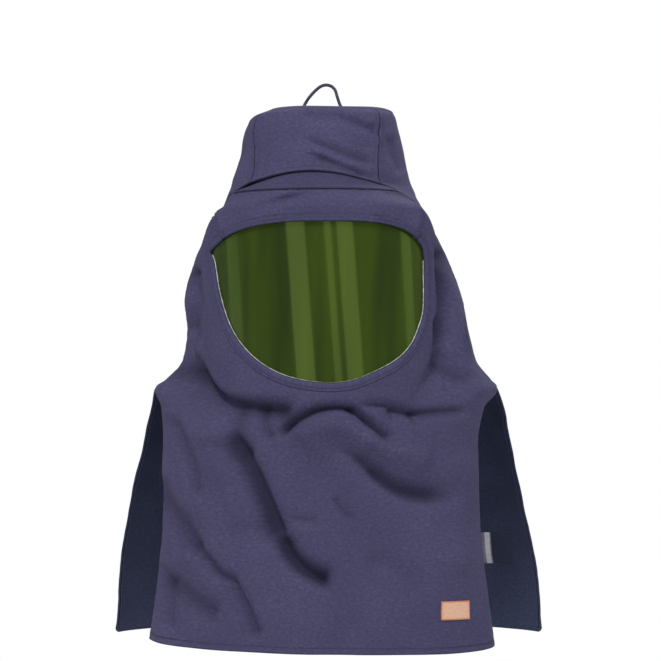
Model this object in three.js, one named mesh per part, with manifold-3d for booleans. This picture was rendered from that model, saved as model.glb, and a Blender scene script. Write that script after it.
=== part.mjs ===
// Arc flash hood: a cloth hood with a pouch for a hard hat, a curved green window and a bib
// at the front and the back. Millimetres, +Z up, -Y to the wearer's front, +X to the right
// of someone who looks at the front. The origin is where the pouch rests on the hard hat.

import * as THREE from "three";
import { mergeVertices } from "three/addons/utils/BufferGeometryUtils.js";
import Module from "manifold-3d";

const wasm = await Module();
wasm.setup();

// Driving sizes
const clothWall = 3; // several layers of flame-resistant cloth
const liningWall = 1;
const labelWall = 0.8;
const seamGap = 0.5; // between two pieces that are sewn edge to edge
const seatGap = 0.4; // between a piece and the face that it lies on
const liningGap = 0.8;
const liningRaise = 5; // how far the lining ends above the back hem
const visorGap = 0.8; // between the window sheet and the cloth over it
const axisY = -20; // the upright axis that the sections go round
const crownHeight = 114; // from the top of the pouch down to its seam at the sides
const crownHalfWidth = 134;
const crownHalfDepth = 168;
const crownRise = 4; // how far the top panel domes up
const browArch = 25; // how far the pouch's front seam arches above its side seams
const browReach = 160; // from the axis to the seam over the brow band
const bodyHeight = 605; // from the pouch's side seam to the front hem
const shoulderHalfWidth = 235;
const backDepth = 170;
const backHemDrop = 10; // how much lower the back bib ends than the front bib
const visorRadius = 172;
const visorThickness = 2;
const visorMargin = 11; // how far the window sheet runs on behind the cloth
const visorTopCorner = 40;
const visorFootCorner = 68;
const windowTop = 156.5; // below the origin
const windowHeight = 209;
const windowLeft = 60; // degrees from the front, at the widest
const windowRight = 48.5;
const browDrop = 21.6; // from the middle of the brow band's edge down to its ends
const trimWidth = 1.8;
const trimRise = 1.6;
const patchWidth = 42;
const patchHeight = 25;
const patchThickness = 1.6;
const patchAbove = 54; // from the hem up to the patch's middle
const loopWidth = 4.8;
const loopThickness = 2.2;
const tabWidth = 13;
const flagWidth = 40;
const labelHeight = 42;

const clothRadius = visorRadius + visorThickness / 2 + visorGap + clothWall / 2;
const crownBaseZ = -crownHeight;
const hemZ = crownBaseZ - bodyHeight;

// Sections of the pouch. z is a share of crownHeight below the origin, left and right are
// shares of crownHalfWidth, front and back of crownHalfDepth, and square is the roundness:
// 2 is an ellipse and more is boxier.
const crownTable = [
  { z: 0.015, left: 0.58, right: 0.68, front: 0.5, back: 0.6, square: 3.1 },
  { z: 0.08, left: 0.72, right: 0.71, front: 0.56, back: 0.7, square: 3 },
  { z: 0.22, left: 0.8, right: 0.735, front: 0.6, back: 0.78, square: 2.8 },
  { z: 0.43, left: 0.85, right: 0.785, front: 0.635, back: 0.85, square: 2.6 },
  { z: 0.67, left: 0.88, right: 0.83, front: 0.675, back: 0.92, square: 2.5 },
  { z: 0.9, left: 0.945, right: 0.885, front: 0.72, back: 0.98, square: 2.3 },
  { z: 1, left: 0.98, right: 0.915, front: 0.74, back: 1, square: 2.2 },
];

// Sections of the body, from the pouch's seam to the hem. z is a share of bodyHeight, the
// half widths are shares of shoulderHalfWidth, front is a share of clothRadius and back of
// backDepth. Front and back are one closed section down to the shoulder tips and hang apart
// below them. The edges are degrees from the middle of the front.
const shoulderDrop = 0.436;
const bodyTable = [
  { z: 0.03, left: 0.615, right: 0.56, front: 0.97, back: 1.02, square: 2.2, leftEdge: 92, rightEdge: 80 },
  { z: 0.07, left: 0.685, right: 0.61, front: 1, back: 1.02, square: 2.2, leftEdge: 92, rightEdge: 80 },
  { z: 0.145, left: 0.765, right: 0.708, front: 1, back: 1, square: 2.3, leftEdge: 92, rightEdge: 87 },
  { z: 0.235, left: 0.81, right: 0.792, front: 1, back: 0.965, square: 2.3, leftEdge: 92, rightEdge: 82 },
  { z: 0.305, left: 0.795, right: 0.832, front: 1, back: 0.95, square: 2.3, leftEdge: 91, rightEdge: 72 },
  { z: 0.37, left: 0.82, right: 0.872, front: 1, back: 0.95, square: 2.2, leftEdge: 90, rightEdge: 74 },
  { z: 0.416, left: 0.92, right: 0.962, front: 0.99, back: 0.965, square: 2.1, leftEdge: 90, rightEdge: 84 },
  { z: 0.436, left: 0.985, right: 1, front: 0.98, back: 0.97, square: 2.1, leftEdge: 90, rightEdge: 90 },
];
const frontBibTable = [
  { z: 0.475, left: 0.95, right: 0.925, front: 0.955, back: 1, square: 2.4, leftEdge: 83.5, rightEdge: 83 },
  { z: 0.555, left: 0.94, right: 0.89, front: 0.905, back: 1, square: 2.7, leftEdge: 80, rightEdge: 79 },
  { z: 0.64, left: 0.945, right: 0.89, front: 0.875, back: 1, square: 2.9, leftEdge: 79.5, rightEdge: 79 },
  { z: 0.74, left: 0.94, right: 0.9, front: 0.865, back: 1, square: 3, leftEdge: 79.5, rightEdge: 79.5 },
  { z: 0.84, left: 0.965, right: 0.925, front: 0.87, back: 1, square: 3, leftEdge: 80, rightEdge: 80 },
  { z: 1, left: 1.02, right: 0.98, front: 0.885, back: 1, square: 3, leftEdge: 80, rightEdge: 80 },
];
const backBibTable = [
  { z: 0.475, left: 1.005, right: 1.035, front: 0.955, back: 1, square: 2.4, leftEdge: 92, rightEdge: 92 },
  { z: 0.555, left: 1.06, right: 1.085, front: 0.905, back: 1.03, square: 2.5, leftEdge: 96, rightEdge: 96 },
  { z: 0.64, left: 1.125, right: 1.145, front: 0.875, back: 1.05, square: 2.5, leftEdge: 98, rightEdge: 98 },
  { z: 0.74, left: 1.18, right: 1.205, front: 0.865, back: 1.06, square: 2.5, leftEdge: 99, rightEdge: 99 },
  { z: 0.84, left: 1.225, right: 1.265, front: 0.87, back: 1.06, square: 2.5, leftEdge: 100, rightEdge: 100 },
  { z: 1, left: 1.26, right: 1.31, front: 0.885, back: 1.06, square: 2.5, leftEdge: 100, rightEdge: 100 },
];

// How far the seam round the foot of the pouch hangs below crownHeight: angle is degrees
// from the front, drop is a share of crownHeight.
const topSeamTable = [
  { angle: -180, drop: 0.12 },
  { angle: -120, drop: 0.08 },
  { angle: -85, drop: 0.06 },
  { angle: -62, drop: 0.012 },
  { angle: -45, drop: 0 },
  { angle: 38, drop: 0 },
  { angle: 56, drop: 0.12 },
  { angle: 75, drop: 0.21 },
  { angle: 95, drop: 0.23 },
  { angle: 130, drop: 0.19 },
  { angle: 180, drop: 0.12 },
];

// Folds of the cloth. Each runs from one point by another to a third. Its points are [x, z]
// with x a share of shoulderHalfWidth and z of bodyHeight. depth and width are shares of
// shoulderHalfWidth, and a depth below 0 is a valley.
const frontFolds = [
  { from: [-0.86, 0.404], by: [-0.57, 0.436], to: [-0.17, 0.472], depth: -0.055, width: 0.065 },
  { from: [-0.53, 0.462], by: [-0.38, 0.6], to: [-0.19, 0.81], depth: -0.07, width: 0.085 },
  { from: [-0.3, 0.5], by: [-0.14, 0.62], to: [0.02, 0.74], depth: 0.045, width: 0.12 },
  { from: [0.195, 0.594], by: [0.4, 0.64], to: [0.61, 0.662], depth: -0.055, width: 0.085 },
  { from: [0.2, 0.53], by: [0.4, 0.555], to: [0.62, 0.58], depth: 0.035, width: 0.09 },
  { from: [-0.2, 0.521], by: [0.03, 0.472], to: [0.323, 0.537], depth: 0.035, width: 0.055 },
  { from: [0.195, 0.461], by: [0.4, 0.48], to: [0.72, 0.485], depth: -0.035, width: 0.055 },
  { from: [-0.78, 0.72], by: [-0.65, 0.8], to: [-0.49, 0.843], depth: -0.03, width: 0.06 },
  { from: [-0.81, 0.54], by: [-0.77, 0.58], to: [-0.735, 0.63], depth: -0.03, width: 0.06 },
  { from: [-0.476, 0.862], by: [-0.438, 0.892], to: [-0.387, 0.937], depth: -0.03, width: 0.06 },
  { from: [-0.79, 0.854], by: [-0.71, 0.892], to: [-0.605, 0.914], depth: -0.03, width: 0.06 },
  { from: [-0.702, 0.198], by: [-0.69, 0.237], to: [-0.7, 0.272], depth: -0.04, width: 0.06 },
  { from: [0.608, 0.155], by: [0.63, 0.216], to: [0.664, 0.292], depth: -0.03, width: 0.06 },
];
const backFolds = [
  { from: [-0.35, 0.3], by: [-0.5, 0.6], to: [-0.62, 0.9], depth: -0.05, width: 0.12 },
  { from: [0.4, 0.34], by: [0.55, 0.63], to: [0.66, 0.92], depth: -0.05, width: 0.12 },
  { from: [-0.05, 0.12], by: [0, 0.35], to: [0.02, 0.6], depth: 0.04, width: 0.16 },
  { from: [0.1, 0.55], by: [0.14, 0.78], to: [0.16, 1], depth: -0.045, width: 0.13 },
  { from: [-0.9, 0.62], by: [-0.96, 0.8], to: [-1, 1], depth: 0.04, width: 0.13 },
  { from: [0.92, 0.66], by: [0.98, 0.82], to: [1.02, 1], depth: 0.04, width: 0.13 },
];
const crownFolds = [
  { from: [-0.185, 0.482], by: [0.052, 0.609], to: [0.3, 0.714], depth: 0.022, width: 0.09 },
  { from: [0.229, 0.169], by: [0.348, 0.238], to: [0.456, 0.308], depth: -0.03, width: 0.07 },
  { from: [-0.75, 0.12], by: [-0.8, 0.36], to: [-0.85, 0.6], depth: -0.022, width: 0.1 },
];

// The U of the opening from the brow band's left end round to its right end: angle is a
// share of windowLeft or windowRight, drop is a share of windowHeight.
const windowTable = [
  { angle: -0.835, drop: 0.1035 },
  { angle: -0.945, drop: 0.147 },
  { angle: -1, drop: 0.176 },
  { angle: -0.955, drop: 0.235 },
  { angle: -0.89, drop: 0.42 },
  { angle: -0.835, drop: 0.53 },
  { angle: -0.765, drop: 0.64 },
  { angle: -0.65, drop: 0.76 },
  { angle: -0.5, drop: 0.865 },
  { angle: -0.35, drop: 0.935 },
  { angle: -0.18, drop: 0.98 },
  { angle: 0.05, drop: 1 },
  { angle: 0.24, drop: 0.985 },
  { angle: 0.45, drop: 0.932 },
  { angle: 0.69, drop: 0.85 },
  { angle: 0.84, drop: 0.76 },
  { angle: 0.93, drop: 0.66 },
  { angle: 0.99, drop: 0.56 },
  { angle: 1, drop: 0.345 },
  { angle: 0.98, drop: 0.17 },
  { angle: 0.9, drop: 0.1035 },
];

// The tape loop's line seen from the front. x and z are shares of loopHeight.
const loopHeight = 36;
const loopY = -25;
const loopTable = [
  { x: -0.92, z: 0 },
  { x: -0.82, z: 0.32 },
  { x: -0.5, z: 0.7 },
  { x: -0.22, z: 0.92 },
  { x: 0.06, z: 1 },
  { x: 0.28, z: 0.94 },
  { x: 0.43, z: 0.7 },
  { x: 0.58, z: 0.34 },
  { x: 0.68, z: 0 },
];

const radians = THREE.MathUtils.degToRad;
const mix = THREE.MathUtils.lerp;
const smooth = (t) => THREE.MathUtils.smoothstep(t, 0, 1);

// A curve through the rows of a table that never overshoots them.
function through(rows, from, key) {
  const n = rows.length;
  const slope = (i) => (rows[i + 1][key] - rows[i][key]) / (rows[i + 1][from] - rows[i][from]);
  const tangent = (i) => {
    if (i === 0) return slope(0);
    if (i === n - 1) return slope(n - 2);
    const [before, after] = [slope(i - 1), slope(i)];
    return before * after <= 0 ? 0 : (2 * before * after) / (before + after);
  };
  return (at) => {
    let i = 0;
    while (i < n - 2 && at > rows[i + 1][from]) i += 1;
    const span = rows[i + 1][from] - rows[i][from];
    const t = THREE.MathUtils.clamp((at - rows[i][from]) / span, 0, 1);
    const rest = 1 - t;
    return (
      (1 + 2 * t) * rest * rest * rows[i][key] +
      t * rest * rest * span * tangent(i) +
      t * t * (3 - 2 * t) * rows[i + 1][key] -
      t * t * rest * span * tangent(i + 1)
    );
  };
}

function sectionsThrough(rows) {
  const keys = Object.keys(rows[0]).filter((key) => key !== "z");
  const curves = keys.map((key) => [key, through(rows, "z", key)]);
  return (z) => Object.fromEntries(curves.map(([key, curve]) => [key, curve(z)]));
}

// Distance from the axis to a section's outline, in the direction of an angle.
function radiusOf(section, angle) {
  const side = Math.sin(angle) < 0 ? section.left : section.right;
  const depth = Math.cos(angle) > 0 ? section.front : section.back;
  const power = section.square;
  const sum = (Math.abs(Math.cos(angle)) / depth) ** power + (Math.abs(Math.sin(angle)) / side) ** power;
  return sum ** (-1 / power);
}

function place(angle, radius, z) {
  return new THREE.Vector3(radius * Math.sin(angle), axisY - radius * Math.cos(angle), z);
}

// Sum of the folds of a table at a place seen from the front or the back.
function foldAt(folds, x, z) {
  const awayFrom = ([x0, z0], [x1, z1]) => {
    const [dx, dz] = [x1 - x0, z1 - z0];
    const along = THREE.MathUtils.clamp(((x - x0) * dx + (z - z0) * dz) / (dx * dx + dz * dz), 0, 1);
    return Math.hypot(x - x0 - along * dx, z - z0 - along * dz);
  };
  return folds.reduce((sum, { from, by, to, depth, width }) => {
    const away = Math.min(awayFrom(from, by), awayFrom(by, to)) / width;
    return sum + depth * Math.exp(-away * away);
  }, 0);
}

// The pouch
const crownSections = sectionsThrough(
  crownTable.map((row) => ({
    z: row.z * crownHeight,
    left: row.left * crownHalfWidth,
    right: row.right * crownHalfWidth,
    front: row.front * crownHalfDepth,
    back: row.back * crownHalfDepth,
    square: row.square,
  })),
);
const crownTopZ = -crownTable[0].z * crownHeight;
const crownFlare = 12;
const crownEdgeAngles = { left: radians(68), right: radians(52) }; // ends of the arched front seam

// The body
const crownBase = crownSections(crownHeight);
const bodyStart = {
  z: 0,
  left: crownBase.left,
  right: crownBase.right,
  front: browReach,
  back: crownBase.back,
  square: crownBase.square,
  leftEdge: bodyTable[0].leftEdge,
  rightEdge: bodyTable[0].rightEdge,
};

function bodyRows(bibTable) {
  const sized = [...bodyTable, ...bibTable].map((row) => ({
    ...row,
    z: row.z * bodyHeight,
    left: row.left * shoulderHalfWidth,
    right: row.right * shoulderHalfWidth,
    front: row.front * clothRadius,
    back: row.back * backDepth,
  }));
  return sectionsThrough([bodyStart, ...sized]);
}

const panels = {
  front: { sections: bodyRows(frontBibTable), folds: frontFolds },
  back: { sections: bodyRows(backBibTable), folds: backFolds },
};

// Height of the seam that joins the pouch, the brow and the body.
const topSeamDrop = through(topSeamTable, "angle", "drop");
const turnedFront = (angle) => (angle > Math.PI ? angle - 2 * Math.PI : angle);
const topSeamZ = (angle) => {
  const degrees = THREE.MathUtils.radToDeg(turnedFront(angle));
  return crownBaseZ - topSeamDrop(degrees) * crownHeight;
};

// Height of the pouch's lower edge, which arches over the brow.
function crownEdgeZ(angle) {
  const turned = turnedFront(angle);
  const share = Math.min(1, turned < 0 ? -turned / crownEdgeAngles.left : turned / crownEdgeAngles.right);
  return topSeamZ(angle) + browArch * Math.cos((share * Math.PI) / 2) ** 1.5;
}

// The pouch flares out to the body's width at its foot.
function crownPoint(angle, z, outward) {
  const own = radiusOf(crownSections(-z), angle);
  const body = radiusOf(panels.front.sections(crownBaseZ - z), angle);
  const radius = mix(own, body, smooth((crownBaseZ + crownFlare - z) / crownFlare / 2));
  const share = -z / crownHeight;
  const calm = smooth(share * 8) * smooth((1 - share) * 5) * smooth(Math.cos(angle) * 3);
  const fold = foldAt(crownFolds, (radius * Math.sin(angle)) / crownHalfWidth, share) * crownHalfWidth;
  return place(angle, radius + fold * calm + outward, z);
}

// The stretch of the visor's sheet: degrees to each side, and heights.
const marginAngle = THREE.MathUtils.radToDeg(visorMargin / visorRadius);
const visor = {
  left: -radians(windowLeft + marginAngle),
  right: radians(windowRight + marginAngle),
  top: -windowTop + visorMargin,
  bottom: -windowTop - windowHeight - visorMargin,
};

// How far a place lies outside the round-cornered outline of the window sheet.
function outsideVisor(angle, z) {
  const [halfWidth, halfHeight] = [((visor.right - visor.left) / 2) * visorRadius, (visor.top - visor.bottom) / 2];
  const [x, up] = [(angle - (visor.left + visor.right) / 2) * visorRadius, z - (visor.top + visor.bottom) / 2];
  const corner = up > 0 ? visorTopCorner : visorFootCorner;
  const [past, over] = [Math.abs(x) - halfWidth + corner, Math.abs(up) - halfHeight + corner];
  return Math.hypot(Math.max(past, 0), Math.max(over, 0)) + Math.min(0, Math.max(past, over)) - corner;
}

// How firmly the window sheet holds the cloth to its own round shape, from 1 to 0.
function holdOf(angle, z) {
  const low = smooth((-windowTop - z) / 80);
  const [firm, fade, crownFade] = [mix(8, 16, low), mix(26, 50, low), 24];
  const outside = outsideVisor(turnedFront(angle), z);
  return (1 - smooth((outside - firm) / fade)) * smooth((crownBaseZ - z) / crownFade);
}

// How freely folds stand out: not at the seams that join front, back and pouch.
function freedomOf(panel, angle, z) {
  const down = crownBaseZ - z;
  const section = panel.sections(down);
  const turned = turnedFront(angle);
  const edge = radians(turned < 0 ? section.leftEdge : section.rightEdge);
  const fromSeam = Math.abs(Math.abs(turned) - edge) / radians(16);
  const joined = 1 - smooth((down / bodyHeight - shoulderDrop) / 0.08);
  return smooth(down / 40) * mix(1, smooth(fromSeam), joined);
}

function bodyPoint(panel, angle, z, outward) {
  const section = panel.sections(crownBaseZ - z);
  const hold = holdOf(angle, z);
  const radius = mix(radiusOf(section, angle), clothRadius, hold);
  const [x, down] = [radius * Math.sin(angle), crownBaseZ - z];
  const fold = foldAt(panel.folds, x / shoulderHalfWidth, down / bodyHeight) * shoulderHalfWidth;
  return place(angle, radius + fold * (1 - hold) * freedomOf(panel, angle, z) + outward, z);
}

// Geometry of closed sheets
// A sheet with two faces and a rim. pointAt takes shares across and down, and the side:
// -1 is the inner face and 1 the outer face.
function sheet(across, down, pointAt) {
  const points = [];
  const index = [];
  const at = (i, j, side) => (side * (down + 1) + j) * (across + 1) + i;
  for (const side of [0, 1])
    for (let j = 0; j <= down; j += 1)
      for (let i = 0; i <= across; i += 1) points.push(pointAt(i / across, j / down, side * 2 - 1));
  const quad = (a, b, c, d) => {
    const even = points[a].distanceTo(points[c]) <= points[b].distanceTo(points[d]);
    index.push(...(even ? [a, b, c, a, c, d] : [a, b, d, b, c, d]));
  };
  for (let j = 0; j < down; j += 1)
    for (let i = 0; i < across; i += 1) {
      quad(at(i, j, 1), at(i, j + 1, 1), at(i + 1, j + 1, 1), at(i + 1, j, 1));
      quad(at(i, j, 0), at(i + 1, j, 0), at(i + 1, j + 1, 0), at(i, j + 1, 0));
    }
  for (let i = 0; i < across; i += 1) {
    quad(at(i, 0, 0), at(i, 0, 1), at(i + 1, 0, 1), at(i + 1, 0, 0));
    quad(at(i + 1, down, 0), at(i + 1, down, 1), at(i, down, 1), at(i, down, 0));
  }
  for (let j = 0; j < down; j += 1) {
    quad(at(0, j + 1, 0), at(0, j + 1, 1), at(0, j, 1), at(0, j, 0));
    quad(at(across, j, 0), at(across, j, 1), at(across, j + 1, 1), at(across, j + 1, 0));
  }
  return geometryOf(points.flatMap((point) => [...point]), index);
}

// A bar along a line of steps, each a ring of corners.
function bar(rings) {
  const corners = rings[0].length;
  const points = rings.flat().flatMap((point) => [...point]);
  const index = [];
  for (let j = 0; j + 1 < rings.length; j += 1)
    for (let i = 0; i < corners; i += 1) {
      const next = (i + 1) % corners;
      const [a, b] = [j * corners + i, j * corners + next];
      index.push(a, b, b + corners, a, b + corners, a + corners);
    }
  const last = (rings.length - 1) * corners;
  for (let i = 1; i + 1 < corners; i += 1) {
    index.push(0, i + 1, i);
    index.push(last, last + i, last + i + 1);
  }
  return geometryOf(points, index);
}

function geometryOf(points, index) {
  const geometry = new THREE.BufferGeometry();
  geometry.setAttribute("position", new THREE.Float32BufferAttribute(points, 3));
  geometry.setIndex(index);
  if (volumeOf(geometry) < 0) {
    for (let i = 0; i < index.length; i += 3) [index[i + 1], index[i + 2]] = [index[i + 2], index[i + 1]];
    geometry.setIndex(index);
  }
  geometry.computeVertexNormals();
  return geometry;
}

function volumeOf(geometry) {
  const position = geometry.getAttribute("position");
  const index = geometry.getIndex();
  const corner = (i) => new THREE.Vector3().fromBufferAttribute(position, index.getX(i));
  let sum = 0;
  for (let i = 0; i < index.count; i += 3) sum += corner(i).dot(corner(i + 1).cross(corner(i + 2)));
  return sum / 6;
}

function solidOf(geometry) {
  const bare = geometry.clone();
  bare.deleteAttribute("normal");
  const merged = mergeVertices(bare, 1e-3);
  const vertProperties = new Float32Array(merged.getAttribute("position").array);
  const triVerts = new Uint32Array(merged.getIndex().array);
  return new wasm.Manifold(new wasm.Mesh({ numProp: 3, vertProperties, triVerts }));
}

function cut(geometry, cutter) {
  const left = solidOf(geometry).subtract(solidOf(cutter)).getMesh();
  return geometryOf([...left.vertProperties], [...left.triVerts]);
}

// The opening
const windowCurve = new THREE.CatmullRomCurve3(
  windowTable.map(({ angle, drop }) => {
    const reach = angle < 0 ? windowLeft : windowRight;
    return new THREE.Vector3(radians(angle * reach) * clothRadius, 0, -windowTop - drop * windowHeight);
  }),
  false,
  "centripetal",
);
const windowSteps = 48;
const windowLine = windowCurve.getSpacedPoints(windowSteps);
const browEnds = { left: windowLine[0].x / clothRadius, right: windowLine[windowSteps].x / clothRadius };
const browTops = { left: -radians(64), right: radians(51) };

const browRows = 6;

// Height of the brow band's lower edge: nearly level, and falling away towards its ends.
function browEdgeZ(angle) {
  const [end, power] = angle < 0 ? [browEnds.left, 2.8] : [browEnds.right, 3.8];
  return -windowTop - browDrop * Math.min(1, angle / end) ** power;
}

// A wedge that runs out from the axis through an outline of angles and heights.
function radialCutter(outline) {
  const radii = [100, clothRadius, 520];
  const flat = outline.map(({ angle, z }) => new THREE.Vector2(angle * clothRadius, z));
  const faces = THREE.ShapeUtils.triangulateShape(flat, []);
  const n = outline.length;
  const points = radii.flatMap((radius) => outline.flatMap(({ angle, z }) => [...place(angle, radius, z)]));
  const index = faces.flatMap(([a, b, c]) => [a, c, b, a + 2 * n, b + 2 * n, c + 2 * n]);
  for (const ring of [0, n])
    for (let i = 0; i < n; i += 1) {
      const [here, next] = [ring + i, ring + ((i + 1) % n)];
      index.push(here, next, next + n, here, next + n, here + n);
    }
  return geometryOf(points, index);
}

// The brow band's end line: its angle at a height.
const browEndZ = -windowTop - browDrop;
const browSide = (end, z) => mix(browTops[end], browEnds[end], (crownBaseZ - z) / (crownBaseZ - browEndZ));

function openingOutline() {
  const above = { left: browTops.left, right: browTops.right, z: crownBaseZ + 20 };
  const side = (end) =>
    Array.from({ length: browRows }, (_, i) => {
      const z = mix(crownBaseZ, browEndZ, i / browRows);
      return { angle: browSide(end, z), z };
    });
  const around = windowLine.map(({ x, z }) => ({ angle: x / clothRadius, z }));
  const [left, right] = [side("left"), side("right").reverse()];
  return [{ angle: above.left, z: above.z }, ...left, ...around, ...right, { angle: above.right, z: above.z }];
}

// Cloth pieces
function crownTop() {
  const [sectors, rings] = [30, 3];
  const rim = (angle) => radiusOf(crownSections(-crownTopZ), angle) + clothWall / 2;
  const points = [];
  for (const side of [0, 1])
    for (let j = 1; j <= rings; j += 1)
      for (let i = 0; i < sectors; i += 1) {
        const [angle, share] = [(i / sectors) * 2 * Math.PI, j / rings];
        const height = crownTopZ + seatGap + side * clothWall + crownRise * (1 - share * share);
        points.push(...place(angle, rim(angle) * share, height));
      }
  const centre = points.length / 3;
  for (const side of [0, 1]) points.push(0, axisY, crownTopZ + seatGap + side * clothWall + crownRise);
  const at = (i, j, side) => (side * rings + j) * sectors + (i % sectors);
  const index = [];
  for (let i = 0; i < sectors; i += 1) {
    index.push(centre, at(i + 1, 0, 0), at(i, 0, 0), centre + 1, at(i, 0, 1), at(i + 1, 0, 1));
    for (let j = 0; j + 1 < rings; j += 1) {
      index.push(at(i, j, 0), at(i + 1, j, 0), at(i + 1, j + 1, 0), at(i, j, 0), at(i + 1, j + 1, 0), at(i, j + 1, 0));
      index.push(at(i, j, 1), at(i + 1, j + 1, 1), at(i + 1, j, 1), at(i, j, 1), at(i, j + 1, 1), at(i + 1, j + 1, 1));
    }
    const [a, b] = [at(i, rings - 1, 0), at(i + 1, rings - 1, 0)];
    const [c, d] = [at(i, rings - 1, 1), at(i + 1, rings - 1, 1)];
    index.push(a, b, d, a, d, c);
  }
  return geometryOf(points, index);
}

function crownPanel(from, to, across) {
  const trimmed = seamGap / 2 / crownHalfWidth;
  return sheet(across, 6, (u, v, side) => {
    const angle = mix(from + trimmed, to - trimmed, u);
    const z = mix(crownTopZ, crownEdgeZ(angle) + seamGap, v ** 1.3);
    return crownPoint(angle, z, (side * clothWall) / 2);
  });
}

function browGusset() {
  const reach = 0.92;
  return sheet(18, 2, (u, v, side) => {
    const angle = mix(-crownEdgeAngles.left * reach, crownEdgeAngles.right * reach, u);
    const [high, low] = [crownEdgeZ(angle), topSeamZ(angle)];
    const [top, foot] = [crownPoint(angle, high, 0), bodyPoint(panels.front, angle, low, 0)];
    const radius = mix(Math.hypot(top.x, top.y - axisY), Math.hypot(foot.x, foot.y - axisY), v);
    return place(angle, radius + (side * clothWall) / 2, mix(high - seamGap / 2, low + seamGap / 2, v));
  });
}

function browBand() {
  const trimmed = (2 * seamGap) / clothRadius;
  return sheet(24, browRows, (u, v, side) => {
    const [left, right] = ["left", "right"].map((end) => browSide(end, mix(topSeamZ(browTops[end]), browEndZ, v)));
    const angle = mix(left + trimmed, right - trimmed, u);
    const z = mix(topSeamZ(angle) - seamGap / 2, browEdgeZ(angle), v);
    return bodyPoint(panels.front, angle, z, (side * clothWall) / 2);
  });
}

// Height of each hem by its share across, from -1 at the left edge to 1 at the right.
const frontHemZ = (across) => hemZ + 7 * smooth(-across) - 3 * smooth(across);
const backHemZ = (across) => hemZ - backHemDrop * (1 - across * across);

// Heights of the rows of a panel. Both panels share those down to the shoulder tips.
const upperRows = 15;
const shoulderZ = crownBaseZ - shoulderDrop * bodyHeight;

function levelOf(row, lowerRows, top, hem) {
  if (row <= upperRows) return mix(top, shoulderZ, row / upperRows);
  return mix(shoulderZ, hem, (row - upperRows) / lowerRows);
}

function panelAngle(panel, z, share, trimmed) {
  const { leftEdge, rightEdge } = panel.sections(crownBaseZ - z);
  const reach = share < 0 ? radians(leftEdge) : radians(rightEdge);
  return share * (reach - trimmed);
}

const trimmedSeam = seamGap / shoulderHalfWidth;
const [frontLowerRows, backLowerRows, backColumns] = [18, 10, 22];

function frontPanel() {
  const rows = upperRows + frontLowerRows;
  const whole = sheet(32, rows, (u, v, side) => {
    const share = 2 * u - 1;
    const top = topSeamZ(panelAngle(panels.front, crownBaseZ, share, trimmedSeam)) - seamGap / 2;
    const z = levelOf(Math.round(v * rows), frontLowerRows, top, frontHemZ(share));
    const angle = panelAngle(panels.front, z, share, trimmedSeam);
    return bodyPoint(panels.front, angle, z, (side * clothWall) / 2);
  });
  return cut(whole, radialCutter(openingOutline()));
}

// The back goes round from the right seam to the left one.
function backAngle(z, share, inset) {
  const { leftEdge, rightEdge } = panels.back.sections(crownBaseZ - z);
  const [from, to] = [radians(rightEdge), 2 * Math.PI - radians(leftEdge)];
  return THREE.MathUtils.clamp(mix(from, to, share), from + inset, to - inset);
}

function backLevel(row, share) {
  const top = topSeamZ(backAngle(crownBaseZ, share, trimmedSeam)) - seamGap / 2;
  return levelOf(row, backLowerRows, top, backHemZ(1 - 2 * share));
}

function backPanel() {
  const rows = upperRows + backLowerRows;
  return sheet(backColumns, rows, (u, v, side) => {
    const z = backLevel(Math.round(v * rows), u);
    return bodyPoint(panels.back, backAngle(z, u, trimmedSeam), z, (side * clothWall) / 2);
  });
}

// The lining covers the back's inner face from the level of the chin down.
function backLining() {
  const first = 12;
  const rows = upperRows + backLowerRows - first;
  const middle = -clothWall / 2 - liningGap - liningWall / 2;
  return sheet(backColumns, rows, (u, v, side) => {
    const z = backLevel(first + Math.round(v * rows), u);
    const raised = v === 1 ? z + liningRaise : z;
    return bodyPoint(panels.back, backAngle(raised, u, trimmedSeam), raised, middle + (side * liningWall) / 2);
  });
}

// The window sheet, with round corners
function visorSheet() {
  return sheet(40, 1, (u, v, side) => {
    const angle = mix(visor.left, visor.right, u);
    const fromEnd = Math.min(angle - visor.left, visor.right - angle) * visorRadius;
    const inset = (corner) => corner - Math.sqrt(corner ** 2 - Math.max(0, corner - fromEnd) ** 2);
    const z = mix(visor.top - inset(visorTopCorner), visor.bottom + inset(visorFootCorner), v);
    return place(angle, visorRadius + (side * visorThickness) / 2, z);
  });
}

// A pale edge that follows the U just inside the cut cloth
function windowTrim() {
  const kept = windowLine.slice(1, -1);
  const base = visorRadius + visorThickness / 2 + seatGap;
  const rings = kept.map((point, i) => {
    const [before, after] = [kept[Math.max(0, i - 1)], kept[Math.min(kept.length - 1, i + 1)]];
    const along = after.clone().sub(before).normalize();
    const inward = new THREE.Vector3(-along.z, 0, along.x);
    const corner = (far, high) => {
      const spot = point.clone().addScaledVector(inward, seatGap + far * trimWidth);
      return place(spot.x / clothRadius, base + high * trimRise, spot.z);
    };
    return [corner(0, 0), corner(1, 0), corner(1, 1), corner(0, 1)];
  });
  return bar(rings);
}

// Tape loop on the pouch
function hangingLoop() {
  const foot = crownTopZ + seatGap + clothWall + crownRise + seatGap;
  const line = new THREE.CatmullRomCurve3(
    loopTable.map(({ x, z }) => new THREE.Vector3(x * loopHeight, loopY, foot + z * loopHeight)),
    false,
    "centripetal",
  );
  const [steps, sides] = [22, 6];
  const rings = Array.from({ length: steps + 1 }, (_, j) => {
    const [point, along] = [line.getPointAt(j / steps), line.getTangentAt(j / steps)];
    const level = j === 0 || j === steps;
    const out = level ? new THREE.Vector3(1, 0, 0) : new THREE.Vector3(along.z, 0, -along.x);
    return Array.from({ length: sides }, (_, i) => {
      const turn = (i / sides) * 2 * Math.PI;
      return point
        .clone()
        .addScaledVector(out, (Math.cos(turn) * loopThickness) / 2)
        .add(new THREE.Vector3(0, (Math.sin(turn) * loopWidth) / 2, 0));
    });
  });
  return bar(rings);
}

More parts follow.
